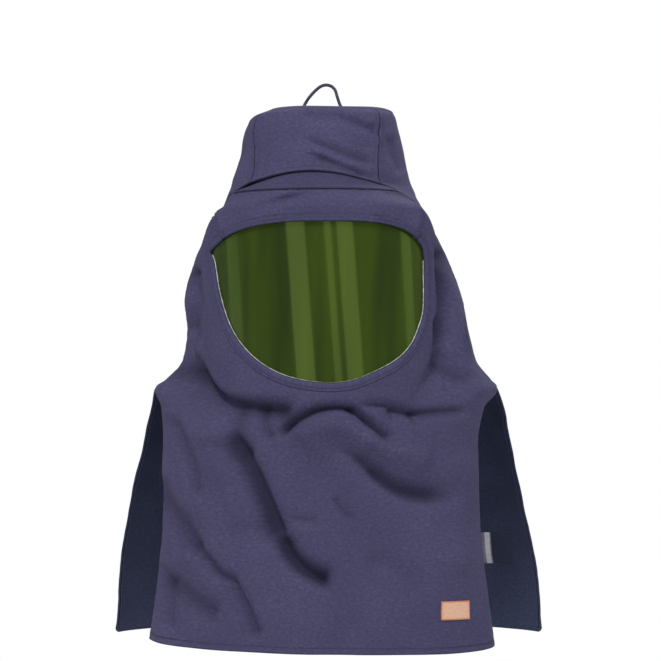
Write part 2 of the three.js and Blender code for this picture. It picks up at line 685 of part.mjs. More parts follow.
// Patch near the front hem
function hemPatch() {
  const [x, above] = [0.67, patchAbove];
  const middle = panelAngle(panels.front, hemZ + above, x, 0);
  const away = clothWall / 2 + seatGap + patchThickness / 2;
  const radius = bodyPoint(panels.front, middle, hemZ + above, 0);
  const reach = patchWidth / 2 / Math.hypot(radius.x, radius.y - axisY);
  return sheet(4, 2, (u, v, side) => {
    const angle = middle + mix(-reach, reach, u);
    const z = hemZ + above + mix(patchHeight / 2, -patchHeight / 2, v);
    return bodyPoint(panels.front, angle, z, away + (side * patchThickness) / 2);
  });
}

// Labels sewn in behind the right edge of the front bib. A label's line seen from above
// leaves the bib's inner face and turns out past the edge. out and along are in millimetres
// from the middle of the cloth's edge, out from the bib and on past its edge.
const labelTable = [
  { out: -2.9, along: -9 },
  { out: -2.9, along: 0 },
  { out: -2.3, along: 2.2 },
  { out: -0.6, along: 3.4 },
  { out: 4, along: 4.6 },
];

function sideLabel(width, layer) {
  const middleZ = crownBaseZ - 0.79 * bodyHeight;
  const bends = labelTable.length - 1;
  return sheet(bends + 4, 1, (u, v, side) => {
    const z = middleZ + mix(labelHeight / 2, -labelHeight / 2, v);
    const edge = panelAngle(panels.front, z, 1, trimmedSeam);
    const start = bodyPoint(panels.front, edge, z, 0);
    const before = bodyPoint(panels.front, edge - 0.02, z, 0);
    const along = start.clone().sub(before).setZ(0).normalize();
    const out = new THREE.Vector3(along.y, -along.x, 0);
    const step = Math.round(u * (bends + 4));
    const row = labelTable[Math.min(step, bends)];
    const beyond = Math.max(0, step - bends) / 4;
    const far = row.out + beyond * (width - row.out);
    const deep = row.along + beyond * width * 0.1 + layer * (labelWall + seamGap);
    const inner = step < 2 ? -layer * (labelWall + seamGap) : 0;
    const thick = step < 2 ? out.clone() : along.clone().negate();
    const spot = start.clone().addScaledVector(out, far + inner).addScaledVector(along, step < 2 ? row.along : deep);
    return spot.addScaledVector(thick, (side * labelWall) / 2).setZ(z);
  });
}

// Assembly
const cloth = { color: 0x4b4866, roughness: 0.92, metalness: 0 };
const materials = {
  cloth: new THREE.MeshStandardMaterial(cloth),
  lining: new THREE.MeshStandardMaterial({ ...cloth, color: 0x24283a, side: THREE.DoubleSide }),
  window: new THREE.MeshStandardMaterial({ color: 0x3c5018, roughness: 0.08, transparent: true, opacity: 0.8 }),
  trim: new THREE.MeshStandardMaterial({ color: 0xc4c8bc, roughness: 0.6 }),
  leather: new THREE.MeshStandardMaterial({ color: 0xd9a07c, roughness: 0.7 }),
  label: new THREE.MeshStandardMaterial({ color: 0x8a8a96, roughness: 0.7 }),
  tape: new THREE.MeshStandardMaterial({ color: 0x4a4a5c, roughness: 0.85 }),
  flag: new THREE.MeshStandardMaterial({ color: 0x1e2130, roughness: 0.8 }),
};

const [seamLeft, seamRight] = [radians(43), radians(34)];
const hood = new THREE.Group();

function add(name, geometry, material) {
  const mesh = new THREE.Mesh(geometry, materials[material]);
  mesh.name = name;
  hood.add(mesh);
}

add("crown_top", crownTop(), "cloth");
add("crown_front", crownPanel(-seamLeft, seamRight, 10), "cloth");
add("crown_side_right", crownPanel(seamRight, Math.PI, 17), "cloth");
add("crown_side_left", crownPanel(Math.PI, 2 * Math.PI - seamLeft, 16), "cloth");
add("brow_gusset", browGusset(), "cloth");
add("brow_band", browBand(), "cloth");
add("front_panel", frontPanel(), "cloth");
add("back_panel", backPanel(), "cloth");
add("back_lining", backLining(), "lining");
add("visor", visorSheet(), "window");
add("window_trim", windowTrim(), "trim");
add("hanging_loop", hangingLoop(), "tape");
add("hem_patch", hemPatch(), "leather");
add("side_tab", sideLabel(tabWidth, 0), "label");
add("side_flag", sideLabel(flagWidth, 1), "flag");

export default hood;
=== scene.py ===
import math

import bmesh
import bpy
import numpy as np
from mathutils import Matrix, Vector


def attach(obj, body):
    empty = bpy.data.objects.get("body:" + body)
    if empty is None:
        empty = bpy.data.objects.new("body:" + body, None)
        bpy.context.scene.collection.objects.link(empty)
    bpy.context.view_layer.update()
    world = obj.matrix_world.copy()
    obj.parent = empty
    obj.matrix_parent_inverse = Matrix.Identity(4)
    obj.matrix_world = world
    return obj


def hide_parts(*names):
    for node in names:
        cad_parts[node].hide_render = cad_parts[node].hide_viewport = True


# Arc flash hood. Lengths are millimetres in the frame's axes (+Z up, -Y to the wearer's front),
# but metres for the lights and the camera. Every mesh is scaled to metres when it is made.
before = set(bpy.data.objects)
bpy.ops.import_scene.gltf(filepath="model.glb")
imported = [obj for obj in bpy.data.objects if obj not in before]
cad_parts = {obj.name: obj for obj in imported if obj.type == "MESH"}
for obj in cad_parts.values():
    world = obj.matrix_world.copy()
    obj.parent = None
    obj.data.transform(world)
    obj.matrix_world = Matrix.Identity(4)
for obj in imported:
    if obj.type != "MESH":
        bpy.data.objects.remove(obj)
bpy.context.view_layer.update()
rng = np.random.default_rng(11)

# Sizes shared with the CAD
CLOTH, LINING = 3.0, 1.2
AXIS_Y = -20
CROWN_H, CROWN_W, CROWN_D, CROWN_RISE = 114, 134, 168, 4
BROW_ARCH, BROW_REACH = 25, 160
BODY_H, SHOULDER, BACK_D, BACK_DROP = 605, 235, 170, 10
EDGE_LEFT, EDGE_RIGHT, SHOULDER_AT = 92, 80, 0.436
VISOR_R, VISOR_T, VISOR_MARGIN = 172, 2, 11
VISOR_TOP_CORNER, VISOR_FOOT_CORNER = 40, 68
WINDOW_TOP, WINDOW_H, WINDOW_LEFT, WINDOW_RIGHT, BROW_DROP = 156.5, 209, 60, 48.5, 21.6
CLOTH_R = VISOR_R + VISOR_T / 2 + 0.8 + CLOTH / 2
BASE_Z = -CROWN_H
HEM_Z = BASE_Z - BODY_H
SHOULDER_Z = BASE_Z - SHOULDER_AT * BODY_H
CROWN_TOP_Z = -0.015 * CROWN_H

# Widths that the pieces' parameters are counted in, and the radii that their UVs unroll at
HALF_FRONT, FRONT_SIDE_R, BACK_W, LINING_H, BROW_W, RIM_W = 240, 225, 640, 390, 300, 80
HEM_ROUND = 9
BODY_UV, CROWN_UV, GUSSET_UV, BROW_UV = 190, 125, 150, 175
# Rows of stitching: how far in from the edge
HEM_STITCH, SEAM_STITCH, FOOT_STITCH, BROW_STITCHES = 8, 4.8, 5.4, (4.4, 9.6)
GRIP = 24  # the window holds the cloth free of folds this far beyond its edge

# Sections of the pouch: z, left, right, front, back, squareness, as shares
CROWN = [
    (0.015, 0.58, 0.68, 0.5, 0.6, 3.1),
    (0.08, 0.72, 0.71, 0.56, 0.7, 3),
    (0.22, 0.8, 0.735, 0.6, 0.78, 2.8),
    (0.43, 0.85, 0.785, 0.635, 0.85, 2.6),
    (0.67, 0.88, 0.83, 0.675, 0.92, 2.5),
    (0.9, 0.945, 0.885, 0.72, 0.98, 2.3),
    (1, 0.98, 0.915, 0.74, 1, 2.2),
]
# Sections of the body: the same and the degrees to its left and right edge
BODY = [
    (0.03, 0.59, 0.56, 0.97, 1.02, 2.2, 92, 80),
    (0.07, 0.65, 0.61, 1, 1.02, 2.2, 92, 80),
    (0.145, 0.75, 0.708, 1, 1, 2.3, 92, 87),
    (0.235, 0.81, 0.792, 1, 0.965, 2.3, 92, 82),
    (0.305, 0.795, 0.832, 1, 0.95, 2.3, 91, 72),
    (0.37, 0.82, 0.872, 1, 0.95, 2.2, 90, 74),
    (0.416, 0.92, 0.962, 0.99, 0.965, 2.1, 90, 84),
    (SHOULDER_AT, 0.985, 1, 0.98, 0.97, 2.1, 90, 90),
]
FRONT_BIB = [
    (0.475, 0.95, 0.925, 0.955, 1, 2.4, 83.5, 83),
    (0.555, 0.94, 0.89, 0.905, 1, 2.7, 80, 79),
    (0.64, 0.945, 0.89, 0.875, 1, 2.9, 79.5, 79),
    (0.74, 0.94, 0.9, 0.865, 1, 3, 79.5, 79.5),
    (0.84, 0.965, 0.925, 0.87, 1, 3, 80, 80),
    (1, 1.02, 0.98, 0.885, 1, 3, 80, 80),
]
BACK_BIB = [
    (0.475, 1.005, 1.035, 0.955, 1, 2.4, 92, 92),
    (0.555, 1.06, 1.085, 0.905, 1.03, 2.5, 96, 96),
    (0.64, 1.125, 1.145, 0.875, 1.05, 2.5, 98, 98),
    (0.74, 1.18, 1.205, 0.865, 1.06, 2.5, 99, 99),
    (0.84, 1.225, 1.265, 0.87, 1.06, 2.5, 100, 100),
    (1, 1.26, 1.31, 0.885, 1.06, 2.5, 100, 100),
]
# Seam round the foot of the pouch: degrees from the front, drop as a share of CROWN_H
TOP_SEAM = [
    (-180, 0.12), (-120, 0.08), (-85, 0.06), (-62, 0.012), (-45, 0), (38, 0),
    (56, 0.12), (75, 0.21), (95, 0.23), (130, 0.19), (180, 0.12),
]  # fmt: skip
# The U of the opening: share of the side's degrees, share of WINDOW_H
WINDOW = [
    (-0.835, 0.1035), (-0.945, 0.147), (-1, 0.176), (-0.955, 0.235), (-0.89, 0.42),
    (-0.835, 0.53), (-0.765, 0.64), (-0.65, 0.76), (-0.5, 0.865), (-0.35, 0.935),
    (-0.18, 0.98), (0.05, 1), (0.24, 0.985), (0.45, 0.932), (0.69, 0.85),
    (0.84, 0.76), (0.93, 0.66), (0.99, 0.56), (1, 0.345), (0.98, 0.17), (0.9, 0.1035),
]  # fmt: skip

# Folds of the front: the line in shares of SHOULDER and BODY_H, the depth, and how far it
# reaches below or to the left of the line and above or to the right of it.
FRONT_FOLDS = [
    ([(-0.85, 0.392), (-0.653, 0.424), (-0.522, 0.441), (-0.394, 0.451), (-0.254, 0.468),
      (-0.11, 0.484)], -21, 17, 22),
    ([(-0.51, 0.42), (-0.49, 0.5), (-0.46, 0.545), (-0.4, 0.59)], -10, 17, 19),
    ([(-0.54, 0.51), (-0.45, 0.56), (-0.375, 0.603), (-0.318, 0.655), (-0.273, 0.702),
      (-0.235, 0.738), (-0.205, 0.775)], -22, 23, 12),
    ([(-0.235, 0.742), (-0.2, 0.785), (-0.12, 0.82), (0.05, 0.855)], -22, 9, 17),
    ([(-0.355, 0.455), (-0.335, 0.5), (-0.275, 0.545)], -8, 11, 9),
    ([(-0.62, 0.5), (-0.55, 0.6), (-0.42, 0.74)], 8, 22, 22),
    ([(-0.24, 0.54), (-0.197, 0.518), (-0.109, 0.489), (-0.02, 0.473), (0.068, 0.469),
      (0.18, 0.474)], -17, 5.5, 9),
    ([(0.1, 0.468), (0.159, 0.48), (0.234, 0.506), (0.35, 0.55)], -15, 6, 9),
    ([(-0.16, 0.545), (0.05, 0.51), (0.26, 0.56)], 8, 30, 12),
    ([(0.15, 0.46), (0.26, 0.461), (0.34, 0.466), (0.4, 0.478), (0.48, 0.487), (0.58, 0.485),
      (0.8, 0.478)], -12, 6, 8),
    ([(0.35, 0.474), (0.372, 0.49), (0.38, 0.5)], -7, 6, 7),
    ([(0.5, 0.476), (0.505, 0.49), (0.48, 0.505)], -6, 7, 6),
    ([(0.3, 0.47), (0.36, 0.52), (0.38, 0.57)], -4.3, 7, 7),
    ([(0.02, 0.545), (0.12, 0.56), (0.25, 0.605), (0.38, 0.645), (0.53, 0.664),
      (0.76, 0.67)], -13, 10, 19),
    ([(0.22, 0.6), (0.34, 0.636), (0.46, 0.66), (0.66, 0.667)], -5, 9, 17),
    ([(0.2, 0.53), (0.4, 0.56), (0.62, 0.59)], 8, 18, 18),
    ([(-0.73, 0.765), (-0.686, 0.782), (-0.627, 0.806), (-0.572, 0.833),
      (-0.44, 0.852)], -11, 5.5, 11),
    ([(-0.87, 0.835), (-0.8, 0.86), (-0.706, 0.89), (-0.55, 0.925)], -10.2, 17, 16),
    ([(-0.5, 0.84), (-0.433, 0.887), (-0.395, 0.924), (-0.34, 0.97)], -9.5, 13, 7),
    ([(-0.93, 0.62), (-0.87, 0.675), (-0.786, 0.715), (-0.67, 0.79)], -11.6, 18, 16),
    ([(-0.84, 0.48), (-0.8, 0.52), (-0.759, 0.56), (-0.72, 0.61), (-0.69, 0.68)], -8.7, 11, 10),
    ([(-0.89, 0.81), (-0.865, 0.88), (-0.84, 0.97)], -7.2, 9, 9),
    ([(0.05, 0.66), (0.09, 0.69), (0.16, 0.715)], -4.3, 6, 6),
    ([(-0.19, 0.705), (-0.11, 0.714), (-0.03, 0.71)], -4, 7, 6),
    ([(0.2, 0.8), (0.38, 0.81), (0.47, 0.84), (0.52, 0.89)], -4.3, 14, 12),
    ([(0.75, 0.55), (0.78, 0.68), (0.8, 0.85)], 5.8, 22, 18),
    ([(-0.72, 0.15), (-0.71, 0.2), (-0.69, 0.24), (-0.7, 0.275), (-0.73, 0.32)], -15, 10, 10),
    ([(-0.78, 0.17), (-0.77, 0.24), (-0.74, 0.32)], 6, 12, 10),
    ([(-0.76, 0.33), (-0.68, 0.35), (-0.58, 0.385)], 11, 15, 12),
    ([(0.6, 0.1), (0.625, 0.2), (0.645, 0.27), (0.66, 0.35)], -20, 12, 10),
    ([(0.59, 0.26), (0.6, 0.31), (0.56, 0.37), (0.42, 0.425)], -16, 15, 12),
    ([(0.6, 0.35), (0.7, 0.385), (0.82, 0.42)], -11, 12, 10),
    ([(-0.47, 0.385), (-0.36, 0.41), (-0.246, 0.426), (0.035, 0.437), (0.2, 0.43),
      (0.36, 0.41)], -7, 6, 6),
]
BACK_FOLDS = [
    ([(-0.66, 0.355), (-0.36, 0.4), (-0.02, 0.425), (0.33, 0.41), (0.64, 0.365)], -8, 11, 22),
    ([(-0.36, 0.44), (-0.43, 0.6), (-0.52, 0.8), (-0.58, 1.1)], -9, 26, 36),
    ([(0.27, 0.49), (0.37, 0.68), (0.44, 0.85), (0.47, 1.1)], -10, 32, 24),
    ([(-0.04, 0.45), (-0.02, 0.65), (0.02, 1.1)], 7, 38, 38),
    ([(-0.9, 0.46), (-0.74, 0.495), (-0.58, 0.545)], -7, 12, 19),
    ([(0.92, 0.455), (0.74, 0.51), (0.6, 0.59)], -7, 19, 13),
    ([(-0.9, 0.6), (-0.96, 0.8), (-1, 1.1)], 9, 30, 30),
    ([(0.92, 0.62), (0.98, 0.82), (1.02, 1.1)], 9, 30, 30),
    ([(-0.76, 0.29), (-0.56, 0.335), (-0.28, 0.352)], -6, 8, 13),
    ([(0.1, 0.325), (0.34, 0.355), (0.6, 0.335)], -5, 7, 12),
    ([(-0.3, 0.1), (-0.1, 0.14), (0.25, 0.12)], -5, 12, 14),
    ([(-0.5, 0.2), (-0.2, 0.245), (0.12, 0.25)], -5, 12, 16),
    ([(0.3, 0.16), (0.45, 0.2), (0.62, 0.26)], -5, 10, 13),
]
CROWN_FOLDS = [
    ([(-0.22, 0.475), (-0.157, 0.496), (0.081, 0.608), (0.32, 0.721), (0.52, 0.79)], 4.6, 6, 5.5),
    ([(-0.2, 0.385), (-0.122, 0.425), (0.021, 0.496), (0.261, 0.608), (0.5, 0.675)], -5, 5.5, 8),
    ([(-0.1, 0.6), (0.15, 0.72), (0.4, 0.85)], -4, 9, 8),
    ([(0.12, 0.12), (0.22, 0.15), (0.348, 0.21), (0.55, 0.34)], -4.6, 5.5, 7),
    ([(0.2, 0.07), (0.32, 0.12), (0.5, 0.21)], 3, 6, 6),
    ([(0.5, 0.45), (0.3, 0.48), (0.42, 0.55)], -2.5, 12, 12),
    ([(-0.25, 0.06), (0, 0.13), (0.2, 0.08)], -3.5, 9, 14),
    ([(-0.78, 0.1), (-0.82, 0.36), (-0.86, 0.6)], -3, 10, 10),
    ([(0.62, 0.3), (0.66, 0.5), (0.74, 0.8)], -3.5, 8, 8),
]


# ---- maths of the shared form
def smooth(t):
    t = np.clip(t, 0, 1)
    return t * t * (3 - 2 * t)


def mix(a, b, t):
    return a + (b - a) * t


def bell(x, width):
    return np.exp(-((x / width) ** 2))


def through(xs, ys):
    """A curve through points that never overshoots them."""
    xs, ys = np.array(xs, float), np.array(ys, float)
    slope = np.diff(ys) / np.diff(xs)
    m = np.concatenate([slope[:1], np.zeros(len(xs) - 2), slope[-1:]])
    a, b = slope[:-1], slope[1:]
    m[1:-1] = np.where(a * b <= 0, 0, 2 * a * b / np.where(a * b <= 0, 1, a + b))

    def at(x):
        x = np.clip(np.asarray(x, float), xs[0], xs[-1])
        i = np.clip(np.searchsorted(xs, x) - 1, 0, len(xs) - 2)
        span = xs[i + 1] - xs[i]
        t = (x - xs[i]) / span
        r = 1 - t
        ends = (1 + 2 * t) * r * r * ys[i] + t * t * (3 - 2 * t) * ys[i + 1]
        return ends + t * r * r * span * m[i] - t * t * r * span * m[i + 1]

    return at


def sections(rows):
    rows = np.array(rows, float)
    curves = [through(rows[:, 0], rows[:, k]) for k in range(1, rows.shape[1])]
    return lambda z: [c(z) for c in curves]


crown_sections = sections(np.array(CROWN) * [CROWN_H, CROWN_W, CROWN_W, CROWN_D, CROWN_D, 1])
_base = [float(v) for v in crown_sections(CROWN_H)]
_start = (0, _base[0], _base[1], BROW_REACH, _base[3], _base[4], EDGE_LEFT, EDGE_RIGHT)
_scale = [BODY_H, SHOULDER, SHOULDER, CLOTH_R, BACK_D, 1, 1, 1]
front_sections = sections(np.vstack([_start, np.array(BODY + FRONT_BIB) * _scale]))
back_sections = sections(np.vstack([_start, np.array(BODY + BACK_BIB) * _scale]))


def radius_of(section, angle):
    left, right, front, back, power = section[:5]
    side = np.where(np.sin(angle) < 0, left, right)
    depth = np.where(np.cos(angle) > 0, front, back)
    total = (np.abs(np.cos(angle)) / depth) ** power + (np.abs(np.sin(angle)) / side) ** power
    return total ** (-1 / power)


def place(angle, radius, z):
    angle, radius, z = np.broadcast_arrays(angle, radius, z)
    return np.stack([radius * np.sin(angle), AXIS_Y - radius * np.cos(angle), z], -1)


def from_axis(p):
    return (p - [0, AXIS_Y, 0]) * [1, 1, 0]


def outward_of(p):
    return from_axis(p) / np.linalg.norm(from_axis(p), axis=-1, keepdims=True)


def turned(angle):
    return np.where(angle > math.pi, angle - 2 * math.pi, angle)


def from_sides(share):
    return np.minimum(share, 1 - share)


def corner_cut(radius, d):
    """How much a round corner takes off a straight edge, d from the edge's end."""
    return radius - np.sqrt(np.maximum(radius**2 - np.clip(radius - d, 0, radius) ** 2, 0))


_seam_drop = through(*zip(*TOP_SEAM))


def top_seam_z(angle):
    return BASE_Z - _seam_drop(np.degrees(turned(angle))) * CROWN_H


CROWN_ENDS = (math.radians(68), math.radians(52))
ARCH_TOP = math.radians(-9)


def crown_edge_z(angle):
    t = turned(angle)
    left, right = CROWN_ENDS[0] + ARCH_TOP, CROWN_ENDS[1] - ARCH_TOP
    share = np.where(t < ARCH_TOP, (ARCH_TOP - t) / left, (t - ARCH_TOP) / right)
    arch = np.cos(np.minimum(1, share) * math.pi / 2) ** 1.3
    return top_seam_z(angle) + (BROW_ARCH + 1.5) * arch


def run_of(points):
    """Length along a line up to each of its points."""
    return np.concatenate([[0], np.cumsum(np.linalg.norm(np.diff(points, axis=0), axis=1))])


def spline(points, n):
    """n points evenly along a smooth centripetal curve through the given ones."""
    p = np.array(points, float)
    chord = np.concatenate([[0], np.cumsum(np.sqrt(np.linalg.norm(np.diff(p, axis=0), axis=1)))])
    q = np.vstack([2 * p[0] - p[1], p, 2 * p[-1] - p[-2]])
    t = np.concatenate([[2 * chord[0] - chord[1]], chord, [2 * chord[-1] - chord[-2]]])

    def between(k, step, a, b):
        return ((t[k + step] - s) * a + (s - t[k]) * b) / (t[k + step] - t[k])

    out = []
    for i in range(1, len(q) - 2):
        s = np.linspace(t[i], t[i + 1], 24, endpoint=i == len(q) - 3)[:, None]
        a = [between(k, 1, q[k], q[k + 1]) for k in (i - 1, i, i + 1)]
        b = [between(k, 2, a[k - i + 1], a[k - i + 2]) for k in (i - 1, i)]
        out.append(between(i, 1, *b))
    line = np.vstack(out)
    run = run_of(line)
    even = np.linspace(0, run[-1], n)
    return np.stack([np.interp(even, run, line[:, k]) for k in range(p.shape[1])], -1)


def prepared(folds, width, height, radius):
    """Fold lines in millimetres, set outward by what the fold's own depth then draws them in."""
    made = []
    for line, depth, low, high in folds:
        scale = [width * (1 - depth / radius), height]
        made.append((spline(np.array(line) * scale, 15), depth, low, high))
    return made


front_folds = prepared(FRONT_FOLDS, SHOULDER, BODY_H, CLOTH_R + 25)
back_folds = prepared(BACK_FOLDS, SHOULDER, BODY_H, CLOTH_R + 25)
crown_folds = prepared(CROWN_FOLDS, CROWN_W, CROWN_H, CROWN_W)


def fold_at(folds, x, down):
    """Height of the folds at places seen from the front, x and down in millimetres."""
    total = np.zeros(np.broadcast(x, down).shape)
    for line, depth, low, high in folds:
        best = np.full(total.shape, 1e9)
        side, along = np.zeros(total.shape), np.zeros(total.shape)
        n = len(line) - 1
        for k in range(n):
            dx, dz = line[k + 1] - line[k]
            t = (x - line[k, 0]) * dx + (down - line[k, 1]) * dz
            t = np.clip(t / (dx * dx + dz * dz), 0, 1)
            ex, ez = x - line[k, 0] - t * dx, down - line[k, 1] - t * dz
            away = np.hypot(ex, ez)
            closer = away < best
            best = np.where(closer, away, best)
            side = np.where(closer, dx * ez - dz * ex, side)
            along = np.where(closer, (k + t) / n, along)
        width = np.where(side > 0, low, high)
        taper = smooth(along / 0.16) * smooth((1 - along) / 0.16)
        total = total + depth * taper * bell(best, width)
    return total


class Waves:
    """Soft uneven swell from a seeded sum of long waves."""

    def __init__(self, count, shortest, longest, height):
        turn = rng.uniform(0, 2 * math.pi, count)
        length = np.exp(rng.uniform(math.log(shortest), math.log(longest), count))
        self.k = np.stack([np.cos(turn), np.sin(turn)], -1) * (2 * math.pi / length)[:, None]
        self.phase = rng.uniform(0, 2 * math.pi, count)
        self.height = height * (length / longest) ** 0.8 / math.sqrt(count / 2)

    def at(self, x, z):
        total = np.zeros(np.broadcast(x, z).shape)
        for (kx, kz), phase, height in zip(self.k, self.phase, self.height):
            total = total + height * np.sin(kx * x + kz * z + phase)
        return total


swell = Waves(16, 45, 170, 1.5)
crumple = Waves(26, 11, 34, 0.3)
pucker = Waves(8, 7, 13, 0.28)

# The window sheet's outline
_margin = VISOR_MARGIN / VISOR_R
V_LEFT, V_RIGHT = -math.radians(WINDOW_LEFT) - _margin, math.radians(WINDOW_RIGHT) + _margin
V_TOP, V_FOOT = -WINDOW_TOP + VISOR_MARGIN, -WINDOW_TOP - WINDOW_H - VISOR_MARGIN


def outside_visor(angle, z):
    half_w, half_h = (V_RIGHT - V_LEFT) / 2 * VISOR_R, (V_TOP - V_FOOT) / 2
    x, up = (angle - (V_LEFT + V_RIGHT) / 2) * VISOR_R, z - (V_TOP + V_FOOT) / 2
    corner = np.where(up > 0, VISOR_TOP_CORNER, VISOR_FOOT_CORNER)
    past, over = np.abs(x) - half_w + corner, np.abs(up) - half_h + corner
    far = np.hypot(np.maximum(past, 0), np.maximum(over, 0))
    return far + np.minimum(0, np.maximum(past, over)) - corner


def body_point(panel, angle, z, outward=0, calm=1):
    """A point of the front or back cloth's middle, with its folds."""
    table, folds, seed = panel
    down = BASE_Z - z
    section = table(down)
    t = turned(angle)
    outside = outside_visor(t, z)
    # the window's curve holds the cloth near it, less firmly at the brow's left corner
    low = smooth((-WINDOW_TOP - z) / 80)
    sloped = smooth((-t - 0.8) / 0.3) * smooth((outside - 1) / 10)
    hold = 1 - smooth((outside - mix(8, 16, low)) / mix(26, 50, low))
    hold = hold * smooth(down / mix(24, 72, sloped))
    radius = mix(radius_of(section, angle), CLOTH_R, hold)
    # folds die out at the window, at the pouch's foot and at the side seams
    edge = np.radians(np.where(t < 0, section[5], section[6]))
    from_seam = np.abs(np.abs(t) - edge) / math.radians(16)
    joined = 1 - smooth((down / BODY_H - SHOULDER_AT) / 0.08)
    free = smooth(down / 40) * mix(1, smooth(from_seam), joined) * smooth((outside - 1) / GRIP)
    x = radius * np.sin(angle)
    soft = swell.at(x + seed, z) * 0.9 + crumple.at(x + seed, z) * 0.55
    fold = fold_at(folds, x, down) + soft
    return place(angle, radius + fold * free * calm + outward, z)


def valley(panel, angle, z):
    """How deep a place lies in the bottom of a fold, from 0 to 1: the share of shade painted
    there.
    """
    table, folds, _ = panel
    down = BASE_Z - z
    free = smooth(down / 40) * smooth((outside_visor(turned(angle), z) - 1) / GRIP)
    depth = -fold_at(folds, radius_of(table(down), angle) * np.sin(angle), down) * free
    return smooth((depth - 1.5) / 17)


FRONT = (front_sections, front_folds, 0)
BACK = (back_sections, back_folds, 700)


def crown_point(angle, z, outward=0):
    own = radius_of(crown_sections(-z), angle)
    body = radius_of(front_sections(BASE_Z - z), angle)
    radius = mix(own, body, smooth((BASE_Z + 12 - z) / 24))
    share = -z / CROWN_H
    x = radius * np.sin(angle)
    calm = smooth(share * 8) * smooth((1 - share) * 5)
    fold = fold_at(crown_folds, x, share * CROWN_H) * smooth(np.cos(angle) * 3)
    fold = fold + swell.at(x * 1.4 + 300, z * 1.4) * 0.7 + crumple.at(x + 90, z) * 0.5
    return place(angle, radius + fold * calm + outward, z)


# How deep a place of the pouch lies in a fold's bottom, from 0 to 1: the share of shade painted
# there
def crown_valley(angle, z):
    x = radius_of(crown_sections(-z), angle) * np.sin(angle)
    return smooth((-fold_at(crown_folds, x, -z) * smooth(np.cos(angle) * 3) - 0.6) / 9)


# ---- meshes
FINE = [0, 0.25, 0.7, 1.4, 2.4, 3.6, 5, 6.3, 7.2, 8, 8.8, 9.6, 10.6, 12, 14]


def spaced(length, step, fine=FINE):
    """Places from 0 to length, close together near both ends."""
    fine = [f for f in fine if f < length / 2 - step / 2]
    count = max(2, round((length - 2 * fine[-1]) / step))
    middle = np.linspace(fine[-1], length - fine[-1], count + 1)[1:-1]
    return np.concatenate([fine, middle, [length - f for f in reversed(fine)]])


def parts(length, step, *fine):
    """The same places, as shares of the length."""
    return spaced(length, step, *fine) / length


def material_slot(obj, material):
    obj.data.materials.append(material)
    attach(obj, "root")
    return obj


def mesh_object(name, verts, faces, uv=None, values=None):
    """An object from millimetres. uv is given for each vertex, values holds named attributes."""
    mesh = bpy.data.meshes.new(name)
    mesh.from_pydata((np.asarray(verts) * 0.001).tolist(), [], faces)
    if uv is not None:
        layer = mesh.uv_layers.new(name="UVMap")
        corner = np.empty(len(mesh.loops), dtype=np.int32)
        mesh.loops.foreach_get("vertex_index", corner)
        layer.data.foreach_set("uv", (np.asarray(uv) * 0.001)[corner].astype(np.float32).ravel())
    for key, data in (values or {}).items():
        attribute = mesh.attributes.new(key, "FLOAT", "POINT")
        attribute.data.foreach_set("value", np.asarray(data, np.float32).ravel())
    obj = bpy.data.objects.new(name, mesh)
    bpy.context.scene.collection.objects.link(obj)
    bm = bmesh.new()
    bm.from_mesh(mesh)
    bmesh.ops.recalc_face_normals(bm, faces=bm.faces)
    bm.to_mesh(mesh)
    bm.free()
    mesh.shade_smooth()
    return obj


def normals_of(surface, u, v, eu, ev):
    across = surface(u + eu, v) - surface(u - eu, v)
    down = surface(u, v + ev) - surface(u, v - ev)
    n = np.cross(across, down)
    n /= np.maximum(np.linalg.norm(n, axis=-1, keepdims=True), 1e-9)
    p = surface(u, v)
    return p, -n if np.sum(n * from_axis(p)) < 0 else n


# The cells beside a cell: the step there, and the two corners that both share
BESIDE = (
    (-1, 0, (0, 1), (0, 0)),
    (1, 0, (1, 0), (1, 1)),
    (0, -1, (0, 0), (1, 0)),
    (0, 1, (1, 1), (0, 1)),
)


